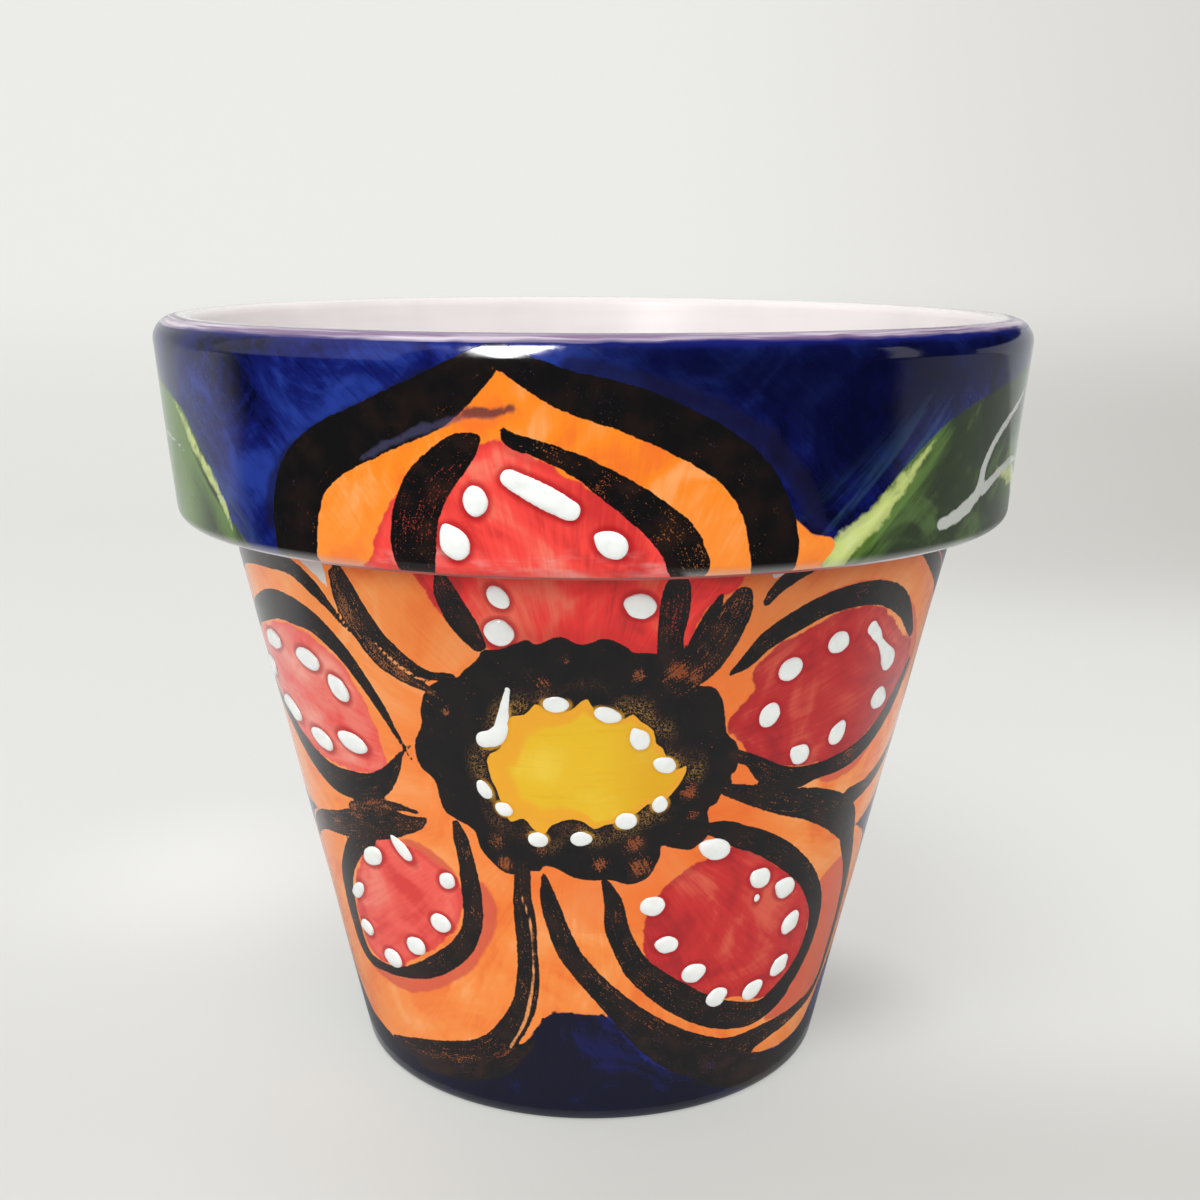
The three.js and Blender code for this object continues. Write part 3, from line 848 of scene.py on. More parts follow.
def fired_glaze_group():
    """The small swells, pinholes and brush marks in the surface of a fired glaze."""
    group, bench, given, out = node_group(
        "fired_glaze", "ShaderNodeTree",
        [("Place", ARROW), ("Base Roughness", NUMBER, 0.1), ("Paint", NUMBER, 0.0)],
        [("Roughness", NUMBER), ("Height", NUMBER)],
    )
    swells = bench.noise(given["Place"], 45.0, 2.0, 0.5)
    brush = bench.noise(given["Place"], 620.0, 3.0, 0.6)
    pits = bench.rise(bench.cells(given["Place"], 420.0), 0.0, 0.09, -1.0, 0.0)
    height = bench.times_plus(swells, 0.9, bench.times(brush, 0.05))
    height = bench.times_plus(pits, 0.02, height)
    height = bench.times_plus(given["Paint"], 0.12, height)
    bench.join(height, out["Height"])
    rough = bench.times_plus(bench.rise(brush, 0.35, 0.7), 0.05, given["Base Roughness"])
    bench.join(bench.times_plus(given["Paint"], 0.03, rough), out["Roughness"])
    return group


GROUP_MAKERS = {
    "painted_edge": painted_edge_group,
    "thin_paint": thin_paint_group,
    "brush_hairs": brush_hairs_group,
    "watery_wash": watery_wash_group,
    "cobalt_brushing": cobalt_brushing_group,
    "fired_glaze": fired_glaze_group,
}


class Finish(Bench):
    """Lays out the nodes of one material."""

    def __init__(self, name):
        self.material = bpy.data.materials.new(name)
        self.material.use_nodes = True
        super().__init__(self.material.node_tree)
        self.shader = self.tree.nodes["Principled BSDF"]
        self.place = self.add("ShaderNodeTexCoord").outputs["Object"]
        self.brushed = None

    def effect(self, name, **feeds):
        """The outputs of a shared effect, fed by socket names with their spaces as underscores."""
        group = bpy.data.node_groups.get(name) or GROUP_MAKERS[name]()
        node = self.add("ShaderNodeGroup", node_tree=group)
        if "Place" in node.inputs:
            self.join(self.place, node.inputs["Place"])
        for socket, value in feeds.items():
            self.join(value, node.inputs[socket.replace("_", " ")])
        return node.outputs

    def cover(self, distance, wander, grain, softness):
        """How far an area of paint covers, by its distance."""
        return self.effect("painted_edge", Distance=distance, Wander=wander, Grain=grain, Softness=softness)[0]

    def hairs(self):
        """Brush hairs, laid out once for the whole material."""
        if self.brushed is None:
            self.brushed = self.effect("brush_hairs", Right=self.reading("right"), Up=self.reading("up"))[0]
        return self.brushed

    def wash(self, distance, pale, main, deep, edge):
        """Watery paint in three tones, with as much of the deep one pooled at its edge as edge says."""
        tones = {"Pale": pale, "Main": main, "Deep": deep}
        return self.effect("watery_wash", Distance=distance, Edge=edge, Hairs=self.hairs(), **tones)[0]

    def cobalt(self, depth, dark, main, bright):
        """Brushed cobalt in three tones, darker the greater its depth."""
        return self.effect("cobalt_brushing", Depth=depth, Dark=dark, Cobalt=main, Bright=bright)[0]

    def surface(self, roughness, specular):
        self.join(roughness, self.shader.inputs["Roughness"])
        self.join(specular, self.shader.inputs["Specular IOR Level"])

    def relief(self, height, strength, depth):
        bump = self.add("ShaderNodeBump", {"Strength": strength, "Distance": depth, "Height": height})
        self.join(bump.outputs[0], self.shader.inputs["Normal"])

    def glaze(self, roughness, paint=0.0, strength=0.25, depth=0.0004, specular=0.4):
        """Gives the shader the shine and the small relief of a fired glaze."""
        glaze = self.effect("fired_glaze", Base_Roughness=roughness, Paint=paint)
        self.surface(glaze["Roughness"], specular)
        self.relief(glaze["Height"], strength, depth)

    def colour(self, socket):
        self.join(socket, self.shader.inputs["Base Color"])


def stored(bench, geometry, name, domain, value, data_type="FLOAT"):
    """The geometry with a value kept on each of its points or corners."""
    feeds = {"Geometry": geometry, "Name": name, "Value": value}
    node = bench.add("GeometryNodeStoreNamedAttribute", feeds, data_type=data_type, domain=domain)
    return node.outputs["Geometry"]


def named(bench, name, data_type="FLOAT"):
    """A value that the geometry keeps under that name."""
    feeds = {"Name": name}
    return bench.add("GeometryNodeInputNamedAttribute", feeds, data_type=data_type).outputs["Attribute"]


def finished_geometry(bench, geometry, material, out):
    """Ends a tree with smooth shading, real instances and the material."""
    smooth = bench.add("GeometryNodeSetShadeSmooth", {"Geometry": geometry}).outputs[0]
    real = bench.add("GeometryNodeRealizeInstances", {"Geometry": smooth}).outputs[0]
    coated = bench.add("GeometryNodeSetMaterial", {"Geometry": real, "Material": material}).outputs[0]
    bench.join(coated, out["Geometry"])


def turned_form_tree():
    """Turns a closed profile of points, read as radius and height, round the Z axis."""
    tree, bench, given, out = node_group(
        "turned_form", "GeometryNodeTree",
        [("Profile", "NodeSocketGeometry"), ("Turn Steps", "NodeSocketInt", 320), ("Material", "NodeSocketMaterial")],
        [("Geometry", "NodeSocketGeometry")],
    )
    count = bench.add("GeometryNodeAttributeDomainSize", {0: given["Profile"]}).outputs["Point Count"]
    columns = bench.math("ADD", given["Turn Steps"], 1.0)
    rows = bench.math("ADD", count, 1.0)
    feeds = {"Size X": 1.0, "Size Y": 1.0, "Vertices X": columns, "Vertices Y": rows}
    sheet = bench.add("GeometryNodeMeshGrid", feeds).outputs["Mesh"]
    index = bench.add("GeometryNodeInputIndex").outputs[0]
    column = bench.math("FLOOR", bench.math("DIVIDE", index, rows))
    row = bench.math("SUBTRACT", index, bench.times(column, rows))
    sheet = stored(bench, sheet, "row_at_point", "POINT", row)
    sheet = stored(bench, sheet, "column_at_point", "POINT", column)
    sheet = stored(bench, sheet, "row", "CORNER", named(bench, "row_at_point"))
    sheet = stored(bench, sheet, "column", "CORNER", named(bench, "column_at_point"))
    feeds = {
        "Geometry": given["Profile"],
        "Value": bench.add("GeometryNodeInputPosition").outputs[0],
        "Index": bench.math("MODULO", named(bench, "row_at_point"), count),
    }
    sampled = bench.add("GeometryNodeSampleIndex", feeds, data_type="FLOAT_VECTOR", domain="POINT")
    place = bench.axes(sampled.outputs["Value"])
    share = bench.math("DIVIDE", named(bench, "column_at_point"), given["Turn Steps"])
    turn = bench.times_plus(share, 2 * math.pi, -math.pi)
    across = bench.times(place["X"], bench.math("SINE", turn))
    back = bench.times(place["X"], bench.times(bench.math("COSINE", turn), -1.0))
    position = bench.arrow(X=across, Y=back, Z=place["Z"])
    form = bench.add("GeometryNodeSetPosition", {"Geometry": sheet, "Position": position}).outputs[0]
    form = bench.add("GeometryNodeMergeByDistance", {"Geometry": form, "Distance": 1e-6}).outputs[0]
    finished_geometry(bench, form, given["Material"], out)
    return tree


def raised_dots_tree():
    """Sets a rounded drop of white on every point, as long, wide and high as the point says."""
    tree, bench, given, out = node_group(
        "raised_dots", "GeometryNodeTree",
        [("Places", "NodeSocketGeometry"), ("Round Steps", "NodeSocketInt", 24), ("Unevenness", NUMBER, 0.00012),
         ("Material", "NodeSocketMaterial")],
        [("Geometry", "NodeSocketGeometry")],
    )
    feeds = {"Segments": given["Round Steps"], "Rings": 8, "Radius": 1.0}
    ball = bench.add("GeometryNodeMeshUVSphere", feeds).outputs["Mesh"]
    position = bench.add("GeometryNodeInputPosition").outputs[0]
    ball = stored(bench, ball, "local", "POINT", position, "FLOAT_VECTOR")
    drops = bench.add("GeometryNodeInstanceOnPoints", {"Points": given["Places"], "Instance": ball}).outputs[0]
    drops = bench.add("GeometryNodeRealizeInstances", {"Geometry": drops}).outputs[0]
    local = bench.axes(named(bench, "local", "FLOAT_VECTOR"))
    ahead = bench.math("MAXIMUM", local["X"], 0.0)
    narrowing = bench.times(bench.math("POWER", ahead, 1.4), named(bench, "taper"))
    side = bench.times(local["Y"], bench.math("SUBTRACT", 1.0, narrowing))
    stretch = bench.times_plus(bench.times(narrowing, ahead), 0.35, local["X"])
    fullness = bench.math("POWER", bench.math("ABSOLUTE", local["Z"]), 0.7)
    upward = bench.times(bench.math("SIGN", local["Z"]), fullness)
    half = bench.axes(named(bench, "half_size", "FLOAT_VECTOR"))
    point = named(bench, "centre", "FLOAT_VECTOR")
    for name, reach, axis in (("along", stretch, "X"), ("across", side, "Y"), ("outward", upward, "Z")):
        step = bench.scaled(named(bench, name, "FLOAT_VECTOR"), bench.times(reach, half[axis]))
        point = bench.vector("ADD", point, step)
    uneven = bench.add("ShaderNodeTexNoise", {"Vector": point, "Scale": 430.0, "Detail": 1.0}).outputs[1]
    uneven = bench.vector("SUBTRACT", uneven, (0.5, 0.5, 0.5))
    point = bench.vector("ADD", point, bench.scaled(uneven, bench.times(given["Unevenness"], 4.0)))
    drops = bench.add("GeometryNodeSetPosition", {"Geometry": drops, "Position": point}).outputs[0]
    finished_geometry(bench, drops, given["Material"], out)
    return tree


TREE_MAKERS = {"turned_form": turned_form_tree, "raised_dots": raised_dots_tree}


def grown(name, points, readings, tree_name, **sizes):
    """A piece grown by a node tree from points that hold some readings, as a plain mesh."""
    tree = bpy.data.node_groups.get(tree_name) or TREE_MAKERS[tree_name]()
    mesh = bpy.data.meshes.new(name)
    mesh.from_pydata([tuple(point) for point in points], [], [])
    for reading, values in readings.items():
        values = np.asarray(values, np.float32)
        if values.ndim == 1:
            mesh.attributes.new(reading, "FLOAT", "POINT").data.foreach_set("value", values)
        else:
            mesh.attributes.new(reading, "FLOAT_VECTOR", "POINT").data.foreach_set("vector", values.ravel())
    piece = bpy.data.objects.new(name, mesh)
    bpy.context.scene.collection.objects.link(piece)
    modifier = piece.modifiers.new(tree_name, "NODES")
    modifier.node_group = tree
    for item in tree.interface.items_tree:
        socket_name = item.name.replace(" ", "_").lower()
        if item.in_out == "INPUT" and socket_name in sizes:
            modifier[item.identifier] = sizes[socket_name]
    depsgraph = bpy.context.evaluated_depsgraph_get()
    evaluated = piece.evaluated_get(depsgraph)
    finished = bpy.data.meshes.new_from_object(evaluated, preserve_all_data_layers=True, depsgraph=depsgraph)
    piece.modifiers.remove(modifier)
    piece.data = finished
    finished.name = name
    bpy.data.meshes.remove(mesh)
    return piece


def mesh_points(mesh):
    """Every vertex of a mesh, in millimetres."""
    flat = np.empty(len(mesh.vertices) * 3, np.float32)
    mesh.vertices.foreach_get("co", flat)
    return flat.reshape(-1, 3).astype(float) / MILLIMETRE


def set_mesh_points(mesh, points):
    mesh.vertices.foreach_set("co", (points * MILLIMETRE).astype(np.float32).ravel())
    mesh.update()


def unevenness_of_the_throwing(points):
    """How far the thrown and fired pot strays from true, the same for every coat."""
    turn = np.arctan2(points[:, 0], -points[:, 1])
    height = points[:, 2]
    rise = np.clip(height / 30, 0, 1)
    out = 0.16 * np.sin(2 * turn + 0.6) + 0.09 * np.sin(3 * turn + height / 34)
    out = (out + 0.05 * np.sin(height / 5.5 + turn)) * rise
    up = 0.14 * np.sin(2 * turn + 1.1) * np.clip((height - 60) / 80, 0, 1)
    radius = np.maximum(np.hypot(points[:, 0], points[:, 1]), 1e-6)
    level = points[:, :2] / radius[:, None] * out[:, None]
    return np.concatenate([level, up[:, None]], axis=1)


def rounded_corner(before, corner, after, rounding, steps):
    """The arc that replaces a corner between two straight lines, as steps + 1 points."""
    before, corner, after = (np.asarray(p, float) for p in (before, corner, after))
    to_before = (before - corner) / np.hypot(*(before - corner))
    to_after = (after - corner) / np.hypot(*(after - corner))
    half = math.acos(to_before @ to_after) / 2
    bisector = (to_before + to_after) / np.hypot(*(to_before + to_after))
    centre = corner + bisector * rounding / math.sin(half)
    reach = rounding / math.tan(half)
    start, end = corner + to_before * reach - centre, corner + to_after * reach - centre
    first = math.atan2(start[1], start[0])
    sweep = (math.atan2(end[1], end[0]) - first + math.pi) % (2 * math.pi) - math.pi
    angles = first + sweep * np.linspace(0, 1, steps + 1)
    return centre + rounding * np.stack([np.cos(angles), np.sin(angles)], -1)


def filled_in(points, spacing):
    """The same line with points no further apart than the spacing."""
    line = [points[:1]]
    for start, end in zip(points[:-1], points[1:]):
        count = max(1, math.ceil(np.hypot(*(end - start)) / spacing - 1e-9))
        line.append(start + (end - start) * (np.arange(1, count + 1) / count)[:, None])
    return np.concatenate(line)


def glaze_surface(sizes):
    """The glazed surface as corner arcs, by name, from the foot up the outside and down the inside."""
    mm = 1 / MILLIMETRE
    height, coat = sizes.height * mm, sizes.coat_thickness * mm
    base, wall_top = sizes.base_radius * mm, sizes.wall_top_radius * mm
    underside = height - sizes.collar_height * mm
    foot_of_collar, rim, mouth = sizes.collar_radius * mm, sizes.rim_radius * mm, sizes.mouth_radius * mm
    slope = (wall_top - base) / underside
    floor, thickness, drain = sizes.floor_thickness * mm, sizes.wall_thickness * mm, sizes.drain_radius * mm
    corners = [
        (0, -coat), (base - slope * coat, -coat), (wall_top, underside), (foot_of_collar, underside),
        (rim, height), (mouth, height), (wall_top - thickness, underside),
        (wall_top - thickness - slope * (underside - floor), floor), (drain, floor), (drain, floor / 2),
    ]
    names = ("foot", "cove", "collar edge", "outer lip", "inner lip", "shoulder", "floor", "drain")
    roundings = (3, 1.2, 2.6, 4, 2.6, 45, 7, 1.5)
    arcs = {}
    for i, (name, rounding) in enumerate(zip(names, roundings)):
        steps = 28 if name == "shoulder" else 12
        arcs[name] = rounded_corner(corners[i], corners[i + 1], corners[i + 2], rounding, steps)
    return arcs


def fewer_points(line, slack):
    """The numbers of the points of a line that keep it within the slack of where it was."""
    kept = {0, len(line) - 1}
    spans = [(0, len(line) - 1)]
    while spans:
        first, last = spans.pop()
        if last - first < 2:
            continue
        step = line[last] - line[first]
        offset = line[first + 1:last] - line[first]
        strays = np.abs(offset[:, 0] * step[1] - offset[:, 1] * step[0]) / max(np.hypot(*step), 1e-9)
        if strays.max() > slack:
            middle = first + 1 + int(strays.argmax())
            kept.add(middle)
            spans += [(first, middle), (middle, last)]
    return sorted(kept)


def coat_profile(sizes, stretch, spacing):
    """A coat's closed profile in metres, its glazed side first, and how many points that side has."""
    arcs = glaze_surface(sizes)
    parts = []
    for name, part in stretch:
        arc = arcs[name]
        middle = len(arc) // 2
        parts.append({"first half": arc[:middle + 1], "second half": arc[middle:], "whole": arc}[part])
    surface = filled_in(np.concatenate(parts), spacing)
    gaps = np.hypot(*np.diff(surface, axis=0).T)
    surface = surface[np.concatenate([[True], gaps > 1e-6])]
    along = np.gradient(surface, axis=0)
    along /= np.hypot(*along.T)[:, None]
    outward = np.stack([along[:, 1], -along[:, 0]], -1)
    under = surface - outward * sizes.coat_thickness / MILLIMETRE
    outline = np.concatenate([surface, under[fewer_points(under, UNDER_SLACK)[::-1]]])
    profile = np.stack([outline[:, 0], 0 * outline[:, 0], outline[:, 1]], -1) * MILLIMETRE
    return profile, len(surface)


def corner_readings(mesh, name):
    values = np.empty(len(mesh.loops), np.float32)
    mesh.attributes[name].data.foreach_get("value", values)
    return values.astype(float)


def lay_out_picture(mesh, glazed_rows, rows, columns, strips):
    """Lays the coat out for its baked picture, in strips one above the other, glazed side largest."""
    row = corner_readings(mesh, "row")
    column = corner_readings(mesh, "column")
    face_starts = np.empty(len(mesh.polygons), np.int32)
    mesh.polygons.foreach_get("loop_start", face_starts)
    face_of_corner = np.repeat(np.arange(len(face_starts)), np.diff(np.append(face_starts, len(mesh.loops))))
    counts = np.bincount(face_of_corner)
    middle_column = np.bincount(face_of_corner, column) / counts
    strip = np.clip((middle_column * strips / columns).astype(int), 0, strips - 1)[face_of_corner]
    across = column * strips / columns - strip
    glazed_share = 0.9
    glazed_up = row / (glazed_rows - 1) * glazed_share
    under_up = glazed_share + (row - glazed_rows + 1) / (rows - glazed_rows + 1) * (1 - glazed_share)
    up = np.where(row <= glazed_rows - 1, glazed_up, under_up)
    margin = 0.004
    u = margin + across * (1 - 2 * margin)
    v = (strip + margin * strips + up * (1 - 2 * margin * strips)) / strips
    layer = mesh.uv_layers.new(name="OFBake")
    layer.data.foreach_set("uv", np.stack([u, v], -1).astype(np.float32).ravel())
    for name in ("row_at_point", "column_at_point", "row", "column"):
        mesh.attributes.remove(mesh.attributes[name])


def turned_coat(name, sizes, stretch, spacing, turn_steps, strips, material):
    """One coat of glaze turned round the pot, with the throwing's unevenness in it."""
    profile, glazed_rows = coat_profile(sizes, stretch, spacing)
    piece = grown(name, profile, {}, "turned_form", turn_steps=turn_steps, material=material)
    piece.data.set_sharp_from_angle(angle=math.radians(40))
    lay_out_picture(piece.data, glazed_rows, len(profile), turn_steps, strips)
    points = mesh_points(piece.data)
    degrees = np.degrees(np.arctan2(points[:, 0], -points[:, 1]))
    heights = points[:, 2].copy()
    set_mesh_points(piece.data, points + unevenness_of_the_throwing(points))
    return piece, degrees, heights


def keep_readings(mesh, layers):
    for name, values in layers.items():
        mesh.attributes.new(name, "FLOAT", "POINT").data.foreach_set("value", values.astype(np.float32))


def raised_dots(name, cone, dots, thickness, material):
    """White drops set on one side of the pot, along the dots' own lean."""
    degrees, heights, lengths, breadths, leans, tapers = np.array(dots, float).T
    outward = cone.outward(degrees)
    turn = np.radians(degrees)
    level = np.stack([np.cos(turn), np.sin(turn), 0 * turn], -1)
    upward = np.cross(outward, level)
    lean = np.radians(leans)[:, None]
    along = level * np.cos(lean) + upward * np.sin(lean)
    across = np.cross(outward, along)
    centre = cone.place(degrees, heights)
    centre = centre + unevenness_of_the_throwing(centre) - outward * DOT_SINK
    half = np.stack([lengths / 2, breadths / 2, thickness * np.clip(breadths / 4, 0.45, 1.05)], -1)
    readings = {"centre": centre * MILLIMETRE, "half_size": half * MILLIMETRE, "along": along, "across": across,
                "outward": outward, "taper": tapers}
    piece = grown(name, centre * MILLIMETRE, readings, "raised_dots", material=material)
    for reading in ("local", *readings):
        attribute = piece.data.attributes.get(reading)
        if attribute:
            piece.data.attributes.remove(attribute)
    return piece


# Places on the pot, in metres, between which a part of the painting fades in.
SHEEN_ON_LEFT_LEAVES = (-0.061, -0.069)
STAINED_STEP = (0.050, 0.030)
SHADE_UNDER_COLLAR_HEIGHTS = (0.099, 0.1045)
PALE_COLLAR_PETAL = (0.122, 0.107)
PALE_LINE_TOP = (0.1075, 0.1056)
PALE_LINE_BOTTOM = (0.1024, 0.1044)
THIN_COLLAR_FOOT = (0.1072, 0.1054)
SMEAR_TO_FINGER = (0.1286, 0.1298)
COBALT_BELOW_LIP = (0.1397, 0.1408)
# Radii on the lip, in metres, for the same.
LINING_IN_LIP = (0.0760, 0.0752)
PLUM_LINE_INNER = (0.0758, 0.0762)
PLUM_LINE_OUTER = (0.0769, 0.0765)
COBALT_ROUND_LIP = (0.0781, 0.0790)
# Painted shade: what the paint just under the collar is multiplied by, in linear red, green and blue.
SHADE_UNDER_COLLAR_TINT = (0.72, 0.56, 0.58, 1)


def leaf_painting(finish, colours, under):
    """Green leaves with a lime stripe and a white vein, over the colour under them, with a painted sheen on the
    leaves far to the pot's left.
    """
    leaf, lime, vein = finish.readings("leaf", "lime", "vein")
    green = finish.wash(leaf, colours.leaf_pale, colours.leaf, colours.leaf_dark, 0.2)
    place = finish.axes(finish.place)
    slant = finish.times(finish.math("SIGN", place["X"]), -13.0)
    slanted = finish.turned(finish.place, finish.times(place["Z"], slant))
    streaks = finish.noise(finish.vector("MULTIPLY", slanted, (1.0, 1.0, 0.2)), 260.0, 3.0, 0.6, 0.6)
    fresh = finish.times(finish.rise(lime, 6.5, 0.3), finish.rise(streaks, 0.38, 0.62), 0.7)
    green = finish.blend(fresh, green, colours.leaf_fresh_and_sheen)
    # Painted sheen: the leaves far to the left of the pot are lightened to the fresh green.
    green = finish.blend(finish.rise(place["X"], *SHEEN_ON_LEFT_LEAVES, 0.0, 0.8), green, colours.leaf_fresh_and_sheen)
    beside = finish.times(finish.rise(lime, 10.0, 1.5, 0.0, 0.7), finish.rise(streaks, 0.42, 0.66))
    under = finish.blend(beside, under, colours.teal)
    painted = finish.blend(finish.cover(leaf, 0.35, 700.0, 0.25), under, green)
    yellowish = finish.wash(lime, colours.lime_pale, colours.lime, colours.leaf_pale, 0.3)
    painted = finish.blend(finish.cover(lime, 1.0, 520.0, 0.45), painted, yellowish)
    vein_cover = finish.cover(finish.math("ADD", vein, 0.25), 0.35, 600.0, 0.22)
    return finish.blend(finish.times(vein_cover, 0.93), painted, colours.vein)


def heart_painting(finish, colours, under):
    """Watery red hearts, brighter or deeper by their tone, that gather round the raised dots."""
    heart, tone, dot = finish.readings("heart", "tone", "dot")
    bright = finish.wash(heart, colours.red_pale, colours.red_bright, colours.red, 0.45)
    deep = finish.wash(heart, colours.red_salmon, colours.red, colours.red_deep, 0.35)
    thinned = finish.wash(heart, colours.salmon_pale, colours.salmon, colours.red_bright, 0.5)
    red = finish.blend(finish.math("MINIMUM", tone, 1.0), deep, bright)
    red = finish.blend(finish.math("SUBTRACT", tone, 1.0, clamp=True), red, thinned)
    gathered = finish.times(finish.rise(dot, 1.1, 0.15), 0.75)
    red = finish.blend(gathered, red, colours.red_gathered)
    return finish.blend(finish.cover(heart, 0.8, 430.0, 0.22), under, red)


def ink_painting(finish, colours, under, distance, wander=0.16):
    """Black brush work, thin in places so that what is under it shows as grains."""
    dryness, along, across = finish.readings("dryness", "along", "across")
    dryness = finish.times(finish.math("MAXIMUM", dryness, 0.1), 1.22)
    bare = finish.effect("thin_paint", Dryness=dryness, Along=along, Across=across, Distance=distance)[0]
    cover = finish.cover(distance, wander, 1300.0, 0.09)
    thinned = finish.times(finish.rise(finish.noise(finish.place, 240.0), 0.4, 0.7), dryness)
    black = finish.blend(thinned, colours.ink, colours.ink_brown)
    scumbled = finish.blend(0.74, under, colours.ink_brown)
    black = finish.blend(bare, black, scumbled)
    return finish.blend(cover, under, black), cover


def petal_painting(finish, colours, under):
    """Orange petals, deeper by the ring, paler to the left, with painted shade in brown at the upper right under the
    collar.
    """
    petal, ring, right, up = finish.readings("petal", "ring", "right", "up")
    orange = finish.wash(petal, colours.orange_pale, colours.orange, colours.orange_deep, 0.1)
    near_ring = finish.times(finish.rise(ring, 20.0, 0.5), finish.rise(right, -22.0, 6.0, 0.25, 0.65))
    orange = finish.blend(near_ring, orange, colours.orange_deep)
    orange = finish.blend(finish.rise(right, -12.0, -42.0, 0.0, 0.2), orange, colours.orange_pale)
    # Painted shade: the orange at the upper right, under the collar, is darkened to a brown.
    shade_upper_right = finish.times(finish.rise(right, 14.0, 34.0), finish.rise(up, 10.0, 30.0), 0.5)
    orange = finish.blend(shade_upper_right, orange, colours.orange_shade)
    return finish.blend(finish.cover(petal, 0.35, 420.0, 0.2), under, orange)


def ring_gold(finish, colours, under):
    """Specks of gold that show through the black ring, in patches beside the eye."""
    eye = finish.reading("eye")
    worms = finish.math("ABSOLUTE", finish.math("SUBTRACT", finish.noise(finish.place, 2200.0, 1.0), 0.5))
    broken = finish.rise(finish.noise(finish.place, 2900.0, 1.0), 0.3, 0.55)
    worms = finish.times(finish.rise(worms, 0.085, 0.02), broken)
    patches = finish.noise(finish.place, 150.0, 1.0)
    band = finish.times(finish.rise(eye, 0.1, 0.6), finish.rise(eye, 4.4, 1.4), finish.rise(patches, 0.34, 0.56))
    gold = finish.blend(finish.rise(patches, 0.45, 0.6), colours.gold_brown, colours.gold)
    return finish.blend(finish.times(worms, band, 0.75), under, gold)


def eye_painting(finish, colours, under):
    """The yellow eye, brushed from side to side, and how far it covers what is under it."""
    eye, right, up, dot = finish.readings("eye", "right", "up", "dot")
    yellow = finish.wash(eye, colours.yellow_pale, colours.yellow, colours.yellow, 0.0)
    brushed = finish.arrow(X=finish.times(right, 0.07), Y=finish.times(up, 1.1))
    arcs = finish.noise(brushed, 1.0, 3.0, 0.6, 0.5)
    yellow = finish.blend(finish.rise(arcs, 0.52, 0.8, 0.0, 0.55), yellow, colours.yellow_deep)
    yellow = finish.blend(finish.rise(right, 2.0, 12.0, 0.0, 0.6), yellow, colours.yellow_deep)
    border_width = finish.rise(right, 4.0, -9.0, 0.9, 3.3)
    border = finish.rise(finish.math("DIVIDE", eye, border_width), -1.3, -0.8, 0.0, 0.85)
    yellow = finish.blend(border, yellow, colours.yellow_orange)
    cover = finish.cover(eye, 0.12, 900.0, 0.08)
    painted = finish.blend(cover, under, yellow)
    rim = finish.times(finish.rise(dot, 0.55, 0.1), finish.rise(eye, 2.4, 0.6), 0.6)
    return finish.blend(rim, painted, colours.yellow_deep), cover


def wall_paint(colours):
    """The flower: orange petals, red hearts, a black ring round a yellow eye, on cobalt."""
    finish = Finish("painted_wall")
    heart, halo, navy, bare, ring, ink, split = finish.readings(
        "heart", "halo", "navy", "bare", "ring", "ink", "split")
    ground = finish.cobalt(0.35, colours.cobalt_dark, colours.cobalt, colours.cobalt_bright)
    colour = petal_painting(finish, colours, leaf_painting(finish, colours, ground))
    foot = finish.cobalt(0.62, colours.navy_dark, colours.navy, colours.cobalt)
    colour = finish.blend(finish.cover(navy, 0.75, 1000.0, 0.15), colour, foot)
    salmon = finish.times(finish.cover(halo, 0.5, 400.0, 0.35), 0.82)
    colour = finish.blend(salmon, colour, colours.red_salmon)
    colour = heart_painting(finish, colours, colour)
    met = finish.times(finish.rise(heart, 0.2, -0.8), finish.rise(ring, 3.6, 0.3), 0.35)
    colour = finish.blend(met, colour, colours.red_gathered)
    colour = finish.blend(finish.cover(bare, 0.25, 600.0, 0.1), colour, colours.glaze_white)
    # Painted shade: the paint on the wall just under the collar is darkened all round.
    shaded_under_collar = finish.rise(finish.axes(finish.place)["Z"], *SHADE_UNDER_COLLAR_HEIGHTS)
    colour = finish.blend(shaded_under_collar, colour, SHADE_UNDER_COLLAR_TINT, "MULTIPLY")
    colour, ink_cover = ink_painting(finish, colours, colour, finish.math("MINIMUM", ink, ring))
    colour, eye_cover = eye_painting(finish, colours, ring_gold(finish, colours, colour))
    light_line = finish.times(finish.cover(split, 0.12, 1500.0, 0.12), 0.85)
    finish.colour(finish.blend(light_line, colour, colours.orange_pale))
    finish.glaze(0.09, finish.times(ink_cover, finish.math("SUBTRACT", 1.0, eye_cover)))
    return finish.material


